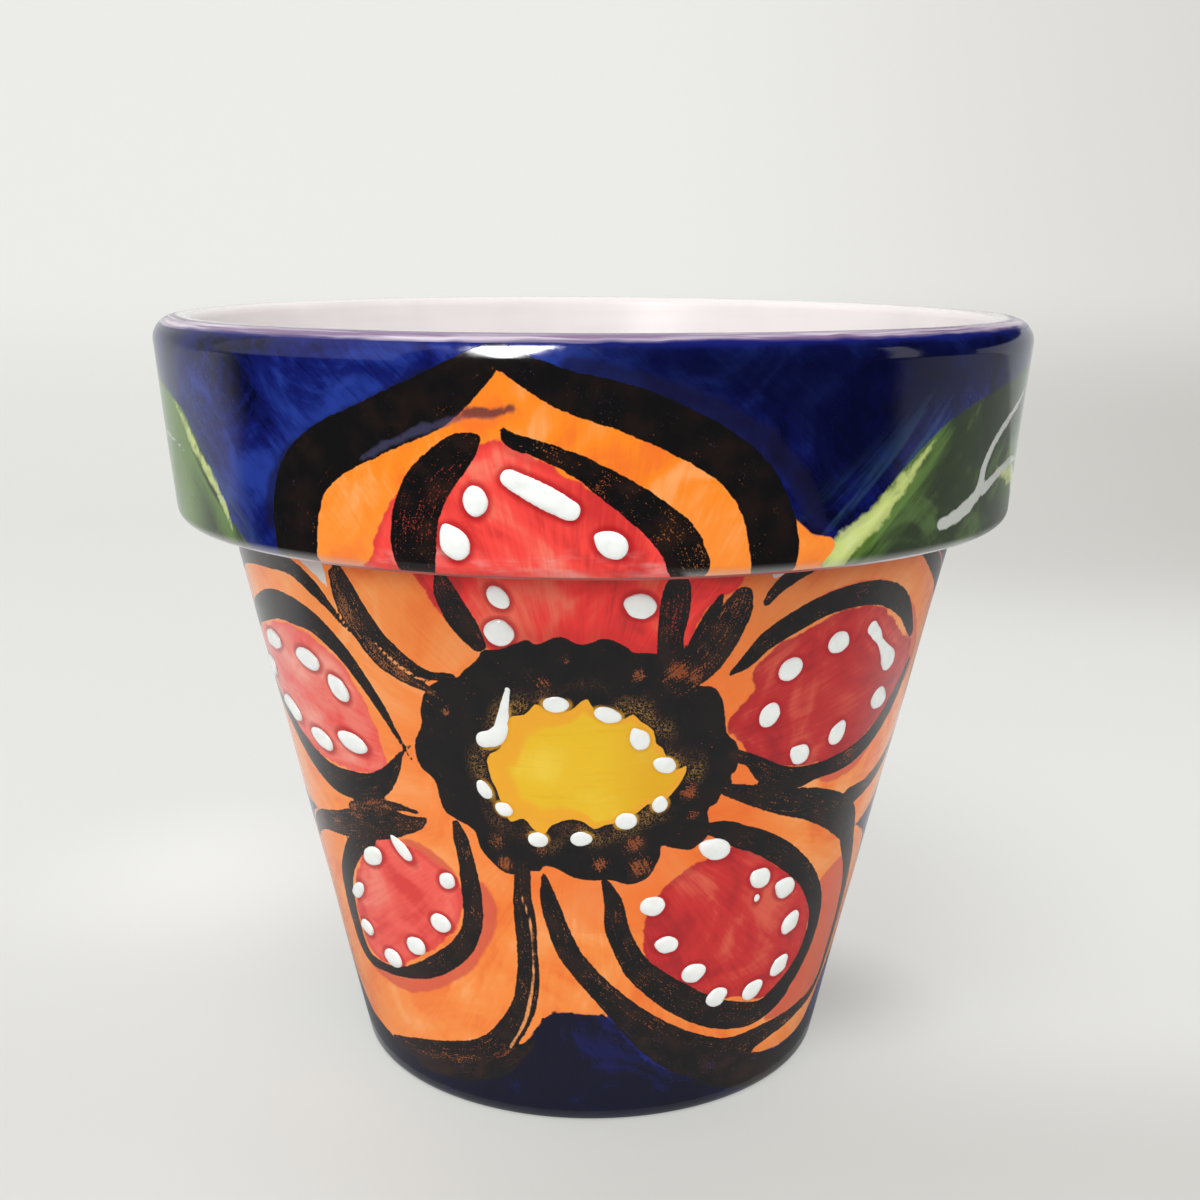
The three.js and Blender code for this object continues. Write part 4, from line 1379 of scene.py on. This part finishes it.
def collar_paint(colours):
    """The tip of the top petal in its black arches, and green leaves, on cobalt."""
    finish = Finish("painted_collar")
    petal, heart, ink, wash, deep, split = finish.readings("petal", "heart", "ink", "wash", "deep", "split")
    height = finish.axes(finish.place)["Z"]
    ground = finish.cobalt(0.25, colours.cobalt_dark, colours.cobalt, colours.cobalt_bright)
    ground = finish.blend(finish.rise(deep, 5.0, -6.0, 0.0, 0.85), ground, colours.cobalt_dark)
    colour = leaf_painting(finish, colours, ground)
    orange = finish.wash(petal, colours.orange_pale, colours.collar_orange, colours.orange_deep, 0.1)
    orange = finish.blend(finish.rise(height, *PALE_COLLAR_PETAL, 0.0, 0.2), orange, colours.orange_pale)
    colour = finish.blend(finish.cover(petal, 0.25, 500.0, 0.15), colour, orange)
    colour = heart_painting(finish, colours, colour)
    watery = finish.times_plus(finish.noise(finish.place, 170.0), -0.005, height)
    line = finish.times(finish.rise(watery, *PALE_LINE_TOP), finish.rise(watery, *PALE_LINE_BOTTOM))
    level = finish.vector("MULTIPLY", finish.place, (0.35, 0.35, 1.0))
    patches = finish.rise(finish.noise(level, 330.0, 3.0, 0.6), 0.4, 0.7)
    pale_line = finish.times(line, finish.rise(heart, 0.4, -0.8), patches, 0.28)
    colour = finish.blend(pale_line, colour, colours.lining)
    grey_wash = finish.times(finish.cover(wash, 0.6, 420.0, 0.7), 0.72)
    colour = finish.blend(grey_wash, colour, colours.wash_grey)
    colour, ink_cover = ink_painting(finish, colours, colour, ink, 0.2)
    finger = finish.rise(height, *SMEAR_TO_FINGER)
    lavender = finish.times(finish.cover(split, 0.6, 600.0, 0.35), finish.between(finger, 0.62, 0.8))
    colour = finish.blend(lavender, colour, finish.blend(finger, colours.lavender, colours.plum))
    thin_foot = finish.times(finish.rise(height, *THIN_COLLAR_FOOT), finish.rise(heart, -0.5, 0.8, 0.0, 0.4))
    colour = finish.blend(thin_foot, colour, colours.glaze_white)
    sway = finish.times_plus(finish.noise(finish.place, 90.0), 0.0016, height)
    finish.colour(finish.blend(finish.rise(sway, *COBALT_BELOW_LIP, 0.0, 0.8), colour, colours.lip_edge))
    finish.glaze(0.08, ink_cover)
    return finish.material


def lip_paint(colours):
    """Thin mauve that broke over the lip, with the white glaze showing through."""
    finish = Finish("lilac_glaze")
    flat = finish.vector("MULTIPLY", finish.place, (1.0, 1.0, 0.0))
    sway = finish.times_plus(finish.noise(finish.place, 90.0), 0.0014, -0.0007)
    radius = finish.math("ADD", finish.length(flat), sway)
    climb = finish.arrow(Z=finish.times(radius, 30.0))
    streaks = finish.noise(finish.vector("ADD", flat, climb), 34.0, 3.0, 0.6)
    mauve = finish.blend(finish.rise(streaks, 0.36, 0.62), colours.lip_pale, colours.lip)
    line = finish.times(finish.rise(radius, *PLUM_LINE_INNER), finish.rise(radius, *PLUM_LINE_OUTER), 0.6)
    mauve = finish.blend(line, mauve, colours.lip_line)
    mauve = finish.blend(finish.rise(radius, *COBALT_ROUND_LIP), mauve, colours.lip_edge)
    finish.colour(finish.blend(finish.rise(radius, *LINING_IN_LIP), mauve, colours.lining))
    finish.glaze(0.14)
    return finish.material


def white_glaze(name, colours, main, rings, stain=None):
    """White tin glaze over clay that was thrown, so that the throwing rings show in it."""
    finish = Finish(name)
    level = finish.vector("MULTIPLY", finish.place, (0.06, 0.06, 1.0))
    ring_lines = finish.noise(level, 260.0)
    cloud = finish.noise(finish.place, 40.0, 3.0, 0.55)
    tint = finish.times_plus(ring_lines, 0.4, finish.times(cloud, 0.6))
    colour = finish.blend(finish.rise(tint, 0.35, 0.7), main, colours.lining_shade)
    if stain:
        side = finish.math("ABSOLUTE", finish.axes(finish.place)["X"])
        colour = finish.blend(finish.rise(side, *STAINED_STEP, 0.0, 0.9), colour, stain)
    specks = finish.times(finish.rise(finish.cells(finish.place, 130.0), 0.05, 0.025), 0.5)
    finish.colour(finish.blend(specks, colour, colours.earthenware))
    finish.glaze(0.3, finish.times(ring_lines, rings), 0.3, specular=0.08)
    return finish.material


def dot_white(colours):
    """Thick white enamel, a little warm and dusty at its foot."""
    finish = Finish("dot_white")
    cloud = finish.noise(finish.place, 500.0)
    finish.colour(finish.blend(finish.rise(cloud, 0.35, 0.75), colours.dots, colours.dots_shade))
    finish.glaze(0.22, strength=0.2, depth=0.0002)
    return finish.material


def earthenware(colours):
    """Bare fired clay with sand, pores and turning marks."""
    finish = Finish("earthenware")
    cloud = finish.noise(finish.place, 50.0, 3.0, 0.6)
    sand = finish.noise(finish.place, 1800.0, 3.0, 0.7)
    tint = finish.times_plus(sand, 0.5, finish.times(cloud, 0.5))
    colour = finish.blend(finish.rise(tint, 0.35, 0.65), colours.earthenware_dark, colours.earthenware)
    pores = finish.rise(finish.cells(finish.place, 700.0), 0.16, 0.08)
    finish.colour(finish.blend(finish.times(pores, 0.7), colour, colours.earthenware_dark))
    finish.surface(finish.rise(sand, 0.2, 0.8, 0.78, 0.95), 0.5)
    finish.relief(finish.times_plus(pores, -0.6, sand), 0.4, 0.0003)
    return finish.material


def srgb(red, green, blue):
    """A colour as it looks on a screen, 0 to 255, in the linear values that the shader takes."""
    shares = (channel / 255 for channel in (red, green, blue))
    return (*(c / 12.92 if c <= 0.04045 else ((c + 0.055) / 1.055) ** 2.4 for c in shares), 1.0)


def length_of(name, description, default, **limits):
    return FloatProperty(name=name, description=description, default=default, unit="LENGTH", precision=4, **limits)


def colour_of(name, description, *screen):
    return FloatVectorProperty(
        name=name, description=description, default=srgb(*screen), subtype="COLOR", size=4, min=0, max=1)


class PotSizes(bpy.types.PropertyGroup):
    """Sizes of the glazed pot."""

    height: length_of("Height", "From the foot to the top of the lip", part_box("lip_glaze")[1].z)
    base_radius: length_of("Base radius", "Outer radius of the wall at the foot", 0.0444)
    wall_top_radius: length_of("Wall top radius", "Outer radius of the wall under the collar", 0.0682)
    collar_height: length_of("Collar height", "Height of the collar with the lip", 0.036)
    collar_radius: length_of("Collar radius", "Outer radius of the collar at its underside", 0.077)
    rim_radius: length_of("Rim radius", "Outer radius of the collar at the lip", 0.0804)
    mouth_radius: length_of("Mouth radius", "Inner radius at the lip", 0.0732)
    wall_thickness: length_of("Wall thickness", "Thickness of the wall", 0.0065)
    floor_thickness: length_of("Floor thickness", "Thickness of the floor with its glaze", 0.0085)
    drain_radius: length_of("Drain radius", "Radius of the drainage hole", 0.007)
    coat_thickness: length_of("Coat thickness", "Thickness of the glaze", 0.0005)
    dot_height: length_of("Dot height", "How far the raised dots stand out", 0.00055)
    wall_spacing: length_of("Wall spacing", "Distance between the rows of the painted wall", 0.00074)
    turn_steps: IntProperty(name="Turn steps", description="Columns round the painted coats", default=640, min=32)


class PotColours(bpy.types.PropertyGroup):
    """Colours of the clay, the glazes and the paints."""

    orange: colour_of("Orange", "Petals", 253, 144, 66)
    orange_pale: colour_of("Pale orange", "Petals where the paint went on thin", 255, 166, 98)
    orange_deep: colour_of("Deep orange", "Petals where the paint pooled", 244, 112, 44)
    orange_shade: colour_of("Brown orange", "Petals that dried browner", 186, 110, 70)
    # Painted shade for the petals at the upper right, under the collar.
    collar_orange: colour_of("Collar orange", "Tip of the top petal", 252, 138, 36)
    red: colour_of("Red", "Hearts of the petals", 186, 42, 44)
    red_bright: colour_of("Bright red", "Hearts where the red is lightest", 244, 58, 54)
    red_pale: colour_of("Pale red", "Bright hearts where the paint went on thin", 244, 112, 88)
    red_salmon: colour_of("Halo red", "Red thinned over orange round the strokes", 216, 88, 70)
    salmon: colour_of("Salmon", "Hearts where the red is thin", 242, 126, 110)
    salmon_pale: colour_of("Pale salmon", "Hearts where the red is thinnest", 250, 164, 148)
    red_deep: colour_of("Deep red", "Hearts where the paint pooled", 150, 30, 38)
    red_gathered: colour_of("Gathered red", "Red drawn up round the raised dots", 176, 24, 34)
    ink: colour_of("Black", "Ring and brush strokes", 20, 19, 20)
    ink_brown: colour_of("Brown black", "Black where the colour under it shows", 60, 38, 28)
    yellow: colour_of("Yellow", "Eye of the flower", 240, 192, 40)
    yellow_pale: colour_of("Pale yellow", "Eye where the paint is thinnest", 244, 206, 66)
    yellow_deep: colour_of("Deep yellow", "Eye where the paint pooled", 230, 164, 26)
    yellow_orange: colour_of("Orange yellow", "Border of the eye", 244, 168, 44)
    gold: colour_of("Gold", "Yellow that shows through the ring", 172, 126, 58)
    gold_brown: colour_of("Gold brown", "Orange that shows through the ring", 140, 88, 54)
    cobalt: colour_of("Cobalt", "Ground of the painting", 16, 24, 95)
    cobalt_bright: colour_of("Bright cobalt", "Ground where the cobalt went on thin", 34, 55, 140)
    cobalt_dark: colour_of("Dark cobalt", "Ground where the cobalt is thick", 6, 8, 38)
    navy: colour_of("Navy", "Bottom of the wall", 16, 20, 78)
    navy_dark: colour_of("Dark navy", "Bottom of the wall where the paint is thick", 10, 12, 38)
    leaf: colour_of("Leaf", "Leaves", 38, 52, 26)
    leaf_pale: colour_of("Pale leaf", "Leaves where the paint went on thin", 74, 98, 50)
    leaf_dark: colour_of("Dark leaf", "Leaves where the paint pooled", 28, 40, 26)
    # Also the colour of the painted sheen on the leaves far to the pot's left.
    leaf_fresh_and_sheen: colour_of("Fresh leaf", "Leaves beside their light stripe", 104, 138, 62)
    lime: colour_of("Lime", "Light stripe of the leaves", 204, 216, 130)
    lime_pale: colour_of("Pale lime", "Light stripe where the paint went on thin", 222, 228, 176)
    teal: colour_of("Teal", "Cobalt brushed into the green of the leaves", 44, 70, 104)
    vein: colour_of("Vein", "Veins of the leaves", 194, 196, 190)
    wash_grey: colour_of("Grey wash", "Thinned black beside the arches", 24, 24, 52)
    plum: colour_of("Plum", "Dark finger of thinned paint at the tip of the top petal", 56, 38, 58)
    lavender: colour_of("Lavender", "Cobalt thinned over orange", 70, 68, 98)
    lip: colour_of("Mauve", "Lip", 126, 103, 134)
    lip_pale: colour_of("Pale lilac", "Lip where the white shows", 206, 194, 206)
    lip_line: colour_of("Plum line", "Line along the inner edge of the lip", 96, 74, 104)
    lip_edge: colour_of("Cobalt edge", "Outer edge of the lip", 22, 28, 100)
    lining: colour_of("Lining white", "Inside of the pot", 223, 217, 215)
    lining_shade: colour_of("Lining shade", "Inside where the glaze is thick", 212, 206, 206)
    glaze_white: colour_of("Bare white", "White glaze that was left unpainted", 214, 214, 210)
    step: colour_of("Step white", "Underside of the collar", 201, 198, 210)
    step_stain: colour_of("Stained step", "Underside of the collar where the red ran over it", 168, 70, 62)
    dots: colour_of("Dot white", "Raised dots", 246, 248, 245)
    dots_shade: colour_of("Dot shade", "Raised dots where they are thin", 240, 241, 238)
    earthenware: colour_of("Earthenware", "Bare clay", 201, 143, 108)
    earthenware_dark: colour_of("Dark earthenware", "Bare clay in its pores", 164, 104, 74)


def finished_with(name, maker, *values):
    """The material of that name, made the first time that a piece needs it."""
    return bpy.data.materials.get(name) or maker(*values)


def set_in_place(piece, slot, *nodes):
    """Puts a finished piece on the pot, in place of the nodes that it stands for."""
    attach(piece, "root")
    if nodes:
        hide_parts(*nodes)


class POT_OT_clay_body(bpy.types.Operator):
    """Give the packed clay body its fired earthenware finish"""

    bl_idname = "pot.clay_body"
    bl_label = "Clay Body"

    def execute(self, context):
        material = finished_with("earthenware", earthenware, context.scene.pot_colours)
        for name in ("base_clay", "wall_clay", "collar_clay"):
            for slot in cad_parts[name].material_slots:
                slot.material = material
        return {"FINISHED"}


class POT_OT_wall_coat(bpy.types.Operator):
    """Turn the wall's coat of glaze and paint the flower on it, front and back"""

    bl_idname = "pot.wall_coat"
    bl_label = "Painted Wall"

    def execute(self, context):
        sizes, colours = context.scene.pot_sizes, context.scene.pot_colours
        material = finished_with("painted_wall", wall_paint, colours)
        stretch = (("foot", "second half"), ("cove", "first half"))
        piece, degrees, heights = turned_coat(
            "wall_coat", sizes, stretch, sizes.wall_spacing / MILLIMETRE, sizes.turn_steps, 2, material)
        dots = WALL_DOTS + dots_along(WALL_TRAILS)
        layers = paint_layers(wall_cone(sizes), degrees, heights, WALL_LAYERS, WALL_MOTIFS, dots)
        keep_readings(piece.data, layers)
        set_in_place(piece, "wall_paint", "wall_glaze")
        return {"FINISHED"}


class POT_OT_collar_coat(bpy.types.Operator):
    """Turn the collar's coat of glaze and paint the petal's tip and the leaves on it"""

    bl_idname = "pot.collar_coat"
    bl_label = "Painted Collar"

    def execute(self, context):
        sizes, colours = context.scene.pot_sizes, context.scene.pot_colours
        material = finished_with("painted_collar", collar_paint, colours)
        stretch = (("collar edge", "second half"), ("outer lip", "first half"))
        piece, degrees, heights = turned_coat(
            "collar_coat", sizes, stretch, COLLAR_SPACING, sizes.turn_steps, 4, material)
        dots = COLLAR_DOTS + dots_along(COLLAR_TRAILS)
        layers = paint_layers(collar_cone(sizes), degrees, heights, COLLAR_LAYERS, COLLAR_MOTIFS, dots)
        keep_readings(piece.data, layers)
        set_in_place(piece, "collar_paint", "collar_glaze")
        return {"FINISHED"}


class POT_OT_plain_coats(bpy.types.Operator):
    """Turn the unpainted coats: the step under the collar, the lip and the lining"""

    bl_idname = "pot.plain_coats"
    bl_label = "Plain Glazes"

    def execute(self, context):
        sizes, colours = context.scene.pot_sizes, context.scene.pot_colours
        step_white = finished_with("step_glaze", white_glaze, "step_glaze", colours, colours.step, 0.2,
                                   colours.step_stain)
        lining_white = finished_with("lining_glaze", white_glaze, "lining_glaze", colours, colours.lining, 1.0)
        mauve = finished_with("lilac_glaze", lip_paint, colours)
        plans = (
            ("step_coat", (("cove", "second half"), ("collar edge", "first half")), 0.9, 480, 4,
             step_white, "step_white", "step_glaze"),
            ("lip_coat", (("outer lip", "second half"), ("inner lip", "first half")), 0.5, 640, 4,
             mauve, "lip_lilac", "lip_glaze"),
            ("lining_coat", (("inner lip", "second half"), ("shoulder", "whole"), ("floor", "whole"),
                             ("drain", "whole")), 1.5, 480, 2, lining_white, "lining_white", "lining_glaze"),
        )
        for name, stretch, spacing, steps, strips, material, slot, node in plans:
            piece = turned_coat(name, sizes, stretch, spacing, steps, strips, material)[0]
            set_in_place(piece, slot, node)
        return {"FINISHED"}


class POT_OT_raised_dots(bpy.types.Operator):
    """Set the white raised dots and trails round the hearts and the eye of each flower"""

    bl_idname = "pot.raised_dots"
    bl_label = "Raised Dots"

    def execute(self, context):
        sizes, colours = context.scene.pot_sizes, context.scene.pot_colours
        material = finished_with("dot_white", dot_white, colours)
        thickness = sizes.dot_height / MILLIMETRE
        sides = (
            ("wall_dots", wall_cone(sizes), WALL_DOTS + dots_along(WALL_TRAILS), "wall_paint"),
            ("collar_dots", collar_cone(sizes), COLLAR_DOTS + dots_along(COLLAR_TRAILS), "collar_paint"),
        )
        for name, cone, dots, slot in sides:
            behind = tuple((180 - degrees, height, length, breadth, 180 - lean, taper)
                           for degrees, height, length, breadth, lean, taper in dots)
            piece = raised_dots(name, cone, dots + behind, thickness, material)
            set_in_place(piece, slot)
        return {"FINISHED"}


def pale_paper():
    """The pale matt paper that the pot stands on. The camera sees it glow, with painted light and shade in the glow,
    a painted shadow by the foot and only a faint real shadow.
    """
    finish = Finish("pale_paper")
    seen = finish.add("ShaderNodeLightPath").outputs["Is Camera Ray"]
    cloud = finish.noise(finish.place, 1.6, 2.0, 0.5)
    paper = finish.blend(cloud, srgb(207, 209, 207), srgb(211, 213, 210))
    finish.colour(finish.blend(seen, paper, (0.22, 0.22, 0.215, 1)))
    place = finish.add("ShaderNodeSeparateXYZ", {0: finish.place}).outputs
    # Painted shade in the glow: darker far to the right behind the pot, and darker just in front of it.
    painted_shade_far_right = finish.times(finish.rise(place["X"], 0.0, 0.55), finish.rise(place["Y"], 0.05, 0.5))
    near = finish.times(finish.rise(place["Y"], 0.0, -0.06), finish.rise(place["X"], -0.08, 0.02))
    lit = finish.blend(painted_shade_far_right, (0.54, 0.54, 0.52, 1), (0.43, 0.415, 0.395, 1))
    lit = finish.blend(near, lit, (0.42, 0.415, 0.39, 1))
    # Painted light: the glow is brighter where the paper sweeps up.
    lit = finish.blend(finish.rise(place["Z"], 0.03, 0.13), lit, (0.058, 0.058, 0.054, 1), "ADD")
    # Painted shade: a darker band behind the pot, to its right.
    band = finish.times(finish.rise(place["Y"], 0.28, 0.5), finish.rise(place["Z"], 0.13, 0.03))
    band = finish.times(band, finish.rise(place["X"], 0.02, 0.2))
    lit = finish.blend(band, lit, (0.085, 0.088, 0.092, 1), "SUBTRACT")
    # Painted shade: darker on the paper close in front of the pot.
    low = finish.times(finish.rise(place["Y"], 0.06, -0.05), finish.rise(place["X"], 0.12, -0.02, 0.3, 1.0))
    lit = finish.blend(low, lit, (0.056, 0.054, 0.052, 1), "SUBTRACT")
    # Painted light on the paper to the left of the foot.
    offset = finish.vector("SUBTRACT", finish.place, (-0.085, 0.075, 0.0))
    away = finish.add("ShaderNodeVectorMath", {0: offset}, operation="LENGTH").outputs["Value"]
    lit = finish.blend(finish.rise(away, 0.07, 0.0), lit, (0.09, 0.09, 0.085, 1), "ADD")
    # Painted shadow on the paper to the right of the foot.
    offset = finish.vector("SUBTRACT", finish.place, (0.045, 0.008, 0.0))
    away = finish.add("ShaderNodeVectorMath", {0: offset}, operation="LENGTH").outputs["Value"]
    lit = finish.blend(finish.rise(away, 0.034, 0.0, 0.0, 0.55), lit, (0.26, 0.23, 0.21, 1))
    finish.join(lit, finish.shader.inputs["Emission Color"])
    finish.join(seen, finish.shader.inputs["Emission Strength"])
    finish.shader.inputs["Roughness"].default_value = 0.9
    finish.shader.inputs["Specular IOR Level"].default_value = 0.1
    return finish.material


def swept_paper(material):
    """A sheet of paper that lies in front of the pot and sweeps up behind it."""
    bend, low_end, back, top, half_width = 0.5, -2.4, 1.1, 2.6, 3.4
    angles = np.linspace(0, math.pi / 2, 24)
    side = [(low_end, 0.0)]
    side += [(back - bend + bend * math.sin(a), bend - bend * math.cos(a)) for a in angles]
    side.append((back, top))
    vertices = [(x, y, z) for y, z in side for x in (-half_width, half_width)]
    faces = [(2 * i, 2 * i + 1, 2 * i + 3, 2 * i + 2) for i in range(len(side) - 1)]
    mesh = bpy.data.meshes.new("paper")
    mesh.from_pydata(vertices, [], faces)
    mesh.shade_smooth()
    mesh.materials.append(material)
    paper = bpy.data.objects.new("paper", mesh)
    bpy.context.scene.collection.objects.link(paper)
    return paper


# Soft lamps: place, the point that they face, width and height in metres, and watts.
SOFT_BOXES = {
    "overhead_box": ((-0.12, -0.62, 1.25), (0, 0, 0.13), 0.5, 0.6, 11.0),
    "front_box": ((0.0, -1.3, 0.45), (0, 0, 0.07), 1.0, 0.6, 1.6),
    "left_box": ((-1.25, 0.05, 0.55), (0, 0, 0.07), 0.9, 1.0, 4.0),
    "right_box": ((1.30, 0.15, 0.6), (0, 0, 0.07), 0.5, 1.0, 2.2),
}


def soft_box(name, place, aim, width, height, power):
    """A soft rectangular lamp that the glaze doesn't mirror."""
    lamp = bpy.data.lights.new(name, "AREA")
    lamp.shape = "RECTANGLE"
    lamp.size = width
    lamp.size_y = height
    lamp.energy = power
    box = bpy.data.objects.new(name, lamp)
    box.location = place
    box.rotation_euler = (Vector(aim) - Vector(place)).to_track_quat("-Z", "Y").to_euler()
    box.visible_glossy = False
    bpy.context.scene.collection.objects.link(box)


def card_surface(name, shade, glow=0.0):
    """Matt card of a grey shade, or one that glows."""
    finish = Finish(name)
    finish.colour((shade, shade, shade, 1))
    finish.shader.inputs["Roughness"].default_value = 1.0
    finish.shader.inputs["Specular IOR Level"].default_value = 0.0
    finish.shader.inputs["Emission Color"].default_value = (1, 1, 1, 1)
    finish.shader.inputs["Emission Strength"].default_value = glow
    return finish.material


def reflected_card(name, corners, faces, material):
    """A card that shows only as a reflection in the glaze."""
    mesh = bpy.data.meshes.new(name)
    mesh.from_pydata(corners, [], faces)
    mesh.materials.append(material)
    card = bpy.data.objects.new(name, mesh)
    card.visible_camera = False
    card.visible_diffuse = False
    card.visible_shadow = False
    card.visible_transmission = False
    bpy.context.scene.collection.objects.link(card)


def mirrored_ground_shades():
    """Painted reflection: grey shades that the glaze mirrors from the ground, dark in front, grey close to the pot
    and to its right, pale behind and to its left.
    """
    finish = Finish("table")
    place = finish.add("ShaderNodeSeparateXYZ", {0: finish.place}).outputs
    sway = finish.times_plus(finish.noise(finish.place, 7.0, 2.0), 0.3, -0.15)
    shade = 0.01
    for side, start, slope, soft, level in ((1, 0.057, 0.13, 0.07, 0.32), (-1, 0.024, -0.188, 0.12, 0.6)):
        out = finish.times(place["X"], side)
        edge = finish.math("DIVIDE", finish.math("ADD", place["Y"], start), out)
        edge = finish.math("ADD", finish.math("ADD", edge, slope), sway)
        share = finish.times(finish.rise(edge, -soft, soft), finish.math("GREATER_THAN", out, 0.0))
        shade = finish.between(share, shade, level)
    reach = finish.add("ShaderNodeVectorMath", {0: finish.place}, operation="LENGTH").outputs["Value"]
    close = finish.rise(place["Y"], -0.03, 0.08, 0.32, 0.62)
    shade = finish.between(finish.rise(reach, 0.27, 0.21), shade, close)
    grey = finish.add("ShaderNodeCombineXYZ", {"X": shade, "Y": shade, "Z": shade}).outputs[0]
    finish.colour(grey)
    finish.shader.inputs["Roughness"].default_value = 1.0
    finish.shader.inputs["Specular IOR Level"].default_value = 0.0
    return finish.material


def mirrored_ground_round_the_pot(material):
    """A flat ring on the paper, from under the pot to 2 m out, that shows only as a painted reflection in the glaze.
    """
    corners = []
    for turn in np.linspace(0, 2 * math.pi, 49):
        for reach in (0.046, 2.0):
            corners.append((reach * math.sin(turn), -reach * math.cos(turn), 0.0006))
    faces = [(2 * i, 2 * i + 1, 2 * i + 3, 2 * i + 2) for i in range(48)]
    reflected_card("table", corners, faces, material)


def camera_of_the_photograph():
    """The camera close in front of the pot, a little above its lip."""
    yaw, pitch, roll = math.radians(0.054), math.radians(12.343), math.radians(0.261)
    ahead = Vector((math.sin(yaw) * math.cos(pitch), math.cos(yaw) * math.cos(pitch), -math.sin(pitch)))
    level = Vector((math.cos(yaw), -math.sin(yaw), 0))
    upright = level.cross(ahead)
    right = level * math.cos(roll) + upright * math.sin(roll)
    up = upright * math.cos(roll) - level * math.sin(roll)
    data = bpy.data.cameras.new("camera")
    data.sensor_width = 36
    data.lens = 49.5
    data.clip_start = 0.01
    camera = bpy.data.objects.new("camera", data)
    turn = Matrix((right, up, -ahead)).transposed()
    camera.matrix_world = Matrix.Translation((0.00125, -0.31289, 0.15419)) @ turn.to_4x4()
    bpy.context.scene.collection.objects.link(camera)
    bpy.context.scene.camera = camera


class POT_OT_stage(bpy.types.Operator):
    """Set the pale paper, the soft boxes and the camera of the photograph"""

    bl_idname = "pot.stage"
    bl_label = "Stage"

    def execute(self, context):
        swept_paper(finished_with("pale_paper", pale_paper))
        mirrored_ground_round_the_pot(mirrored_ground_shades())
        room = ((-1.6, -1.5, 0), (1.6, -1.5, 0), (1.6, -1.5, 2.9), (-1.6, -1.5, 2.9), (1.6, 0.5, 2.9),
                (-1.6, 0.5, 2.9), (1.6, 0.5, 0), (0.2, 0.5, 2.9), (3.35, 1.08, 2.6), (0.2, 1.08, 2.6),
                (3.35, 1.08, 0.1), (0.2, 1.08, 0.1))
        room_faces = [(0, 1, 2, 3), (3, 2, 4, 5), (1, 6, 4, 2), (7, 4, 8, 9), (9, 8, 10, 11)]
        reflected_card("room_card", room, room_faces, card_surface("dark_room", 0.01))
        doorway = ((1.5, -0.42, 0.05), (1.5, -0.16, 0.05), (1.5, -0.08, 0.95), (1.5, -0.3, 0.95))
        reflected_card("doorway_card", doorway, [(0, 1, 2, 3)], card_surface("doorway_light", 0.0, 1.1))
        window = ((-0.44, 0.40), (-0.37, 0.42), (-0.29, 0.95), (-0.28, 1.9), (-0.33, 2.6), (-1.0, 2.6),
                  (-0.76, 1.3), (-0.57, 0.75))
        reflected_card("window_card", [(x, -1.1, z) for x, z in window], [tuple(range(8))],
                       card_surface("window_light", 0.0, 55.0))
        for name, plan in SOFT_BOXES.items():
            soft_box(name, *plan)
        world = bpy.data.worlds.new("daylight")
        world.use_nodes = True
        background = world.node_tree.nodes["Background"]
        background.inputs["Strength"].default_value = 0.68
        beyond = Bench(world.node_tree)
        seen = beyond.add("ShaderNodeLightPath").outputs["Is Camera Ray"]
        beyond.join(beyond.blend(seen, (1, 1, 1, 1), (1.22, 1.22, 1.18, 1)), background.inputs["Color"])
        context.scene.world = world
        context.scene.view_settings.view_transform = "Standard"
        camera_of_the_photograph()
        return {"FINISHED"}


class POT_PT_making(bpy.types.Panel):
    """The pot's sizes, colours and pieces, in the order of making"""

    bl_idname = "POT_PT_making"
    bl_label = "Flower Pot"
    bl_space_type = "VIEW_3D"
    bl_region_type = "UI"
    bl_category = "Flower Pot"

    def draw(self, context):
        for group in (context.scene.pot_sizes, context.scene.pot_colours):
            column = self.layout.column()
            for name in group.bl_rna.properties.keys():
                if name not in ("rna_type", "name"):
                    column.prop(group, name)
        for operator in OPERATORS:
            self.layout.operator(operator.bl_idname)


GROUPS = (PotSizes, PotColours)
OPERATORS = (
    POT_OT_stage, POT_OT_clay_body, POT_OT_wall_coat, POT_OT_collar_coat, POT_OT_plain_coats, POT_OT_raised_dots)


def wall_cone(sizes):
    underside = (sizes.height - sizes.collar_height) / MILLIMETRE
    return Cone(0, underside, sizes.base_radius / MILLIMETRE, sizes.wall_top_radius / MILLIMETRE)


def collar_cone(sizes):
    height, collar = sizes.height / MILLIMETRE, sizes.collar_height / MILLIMETRE
    return Cone(height - collar, height, sizes.collar_radius / MILLIMETRE, sizes.rim_radius / MILLIMETRE)


def register():
    for kind in (*GROUPS, *OPERATORS, POT_PT_making):
        bpy.utils.register_class(kind)
    bpy.types.Scene.pot_sizes = PointerProperty(type=PotSizes)
    bpy.types.Scene.pot_colours = PointerProperty(type=PotColours)


def unregister():
    del bpy.types.Scene.pot_colours
    del bpy.types.Scene.pot_sizes
    for kind in reversed((*GROUPS, *OPERATORS, POT_PT_making)):
        bpy.utils.unregister_class(kind)


def main():
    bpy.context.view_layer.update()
    register()
    bpy.ops.pot.stage()
    bpy.ops.pot.clay_body()
    bpy.ops.pot.wall_coat()
    bpy.ops.pot.collar_coat()
    bpy.ops.pot.plain_coats()
    bpy.ops.pot.raised_dots()
    bpy.context.view_layer.update()


if __name__ == "__main__":
    main()
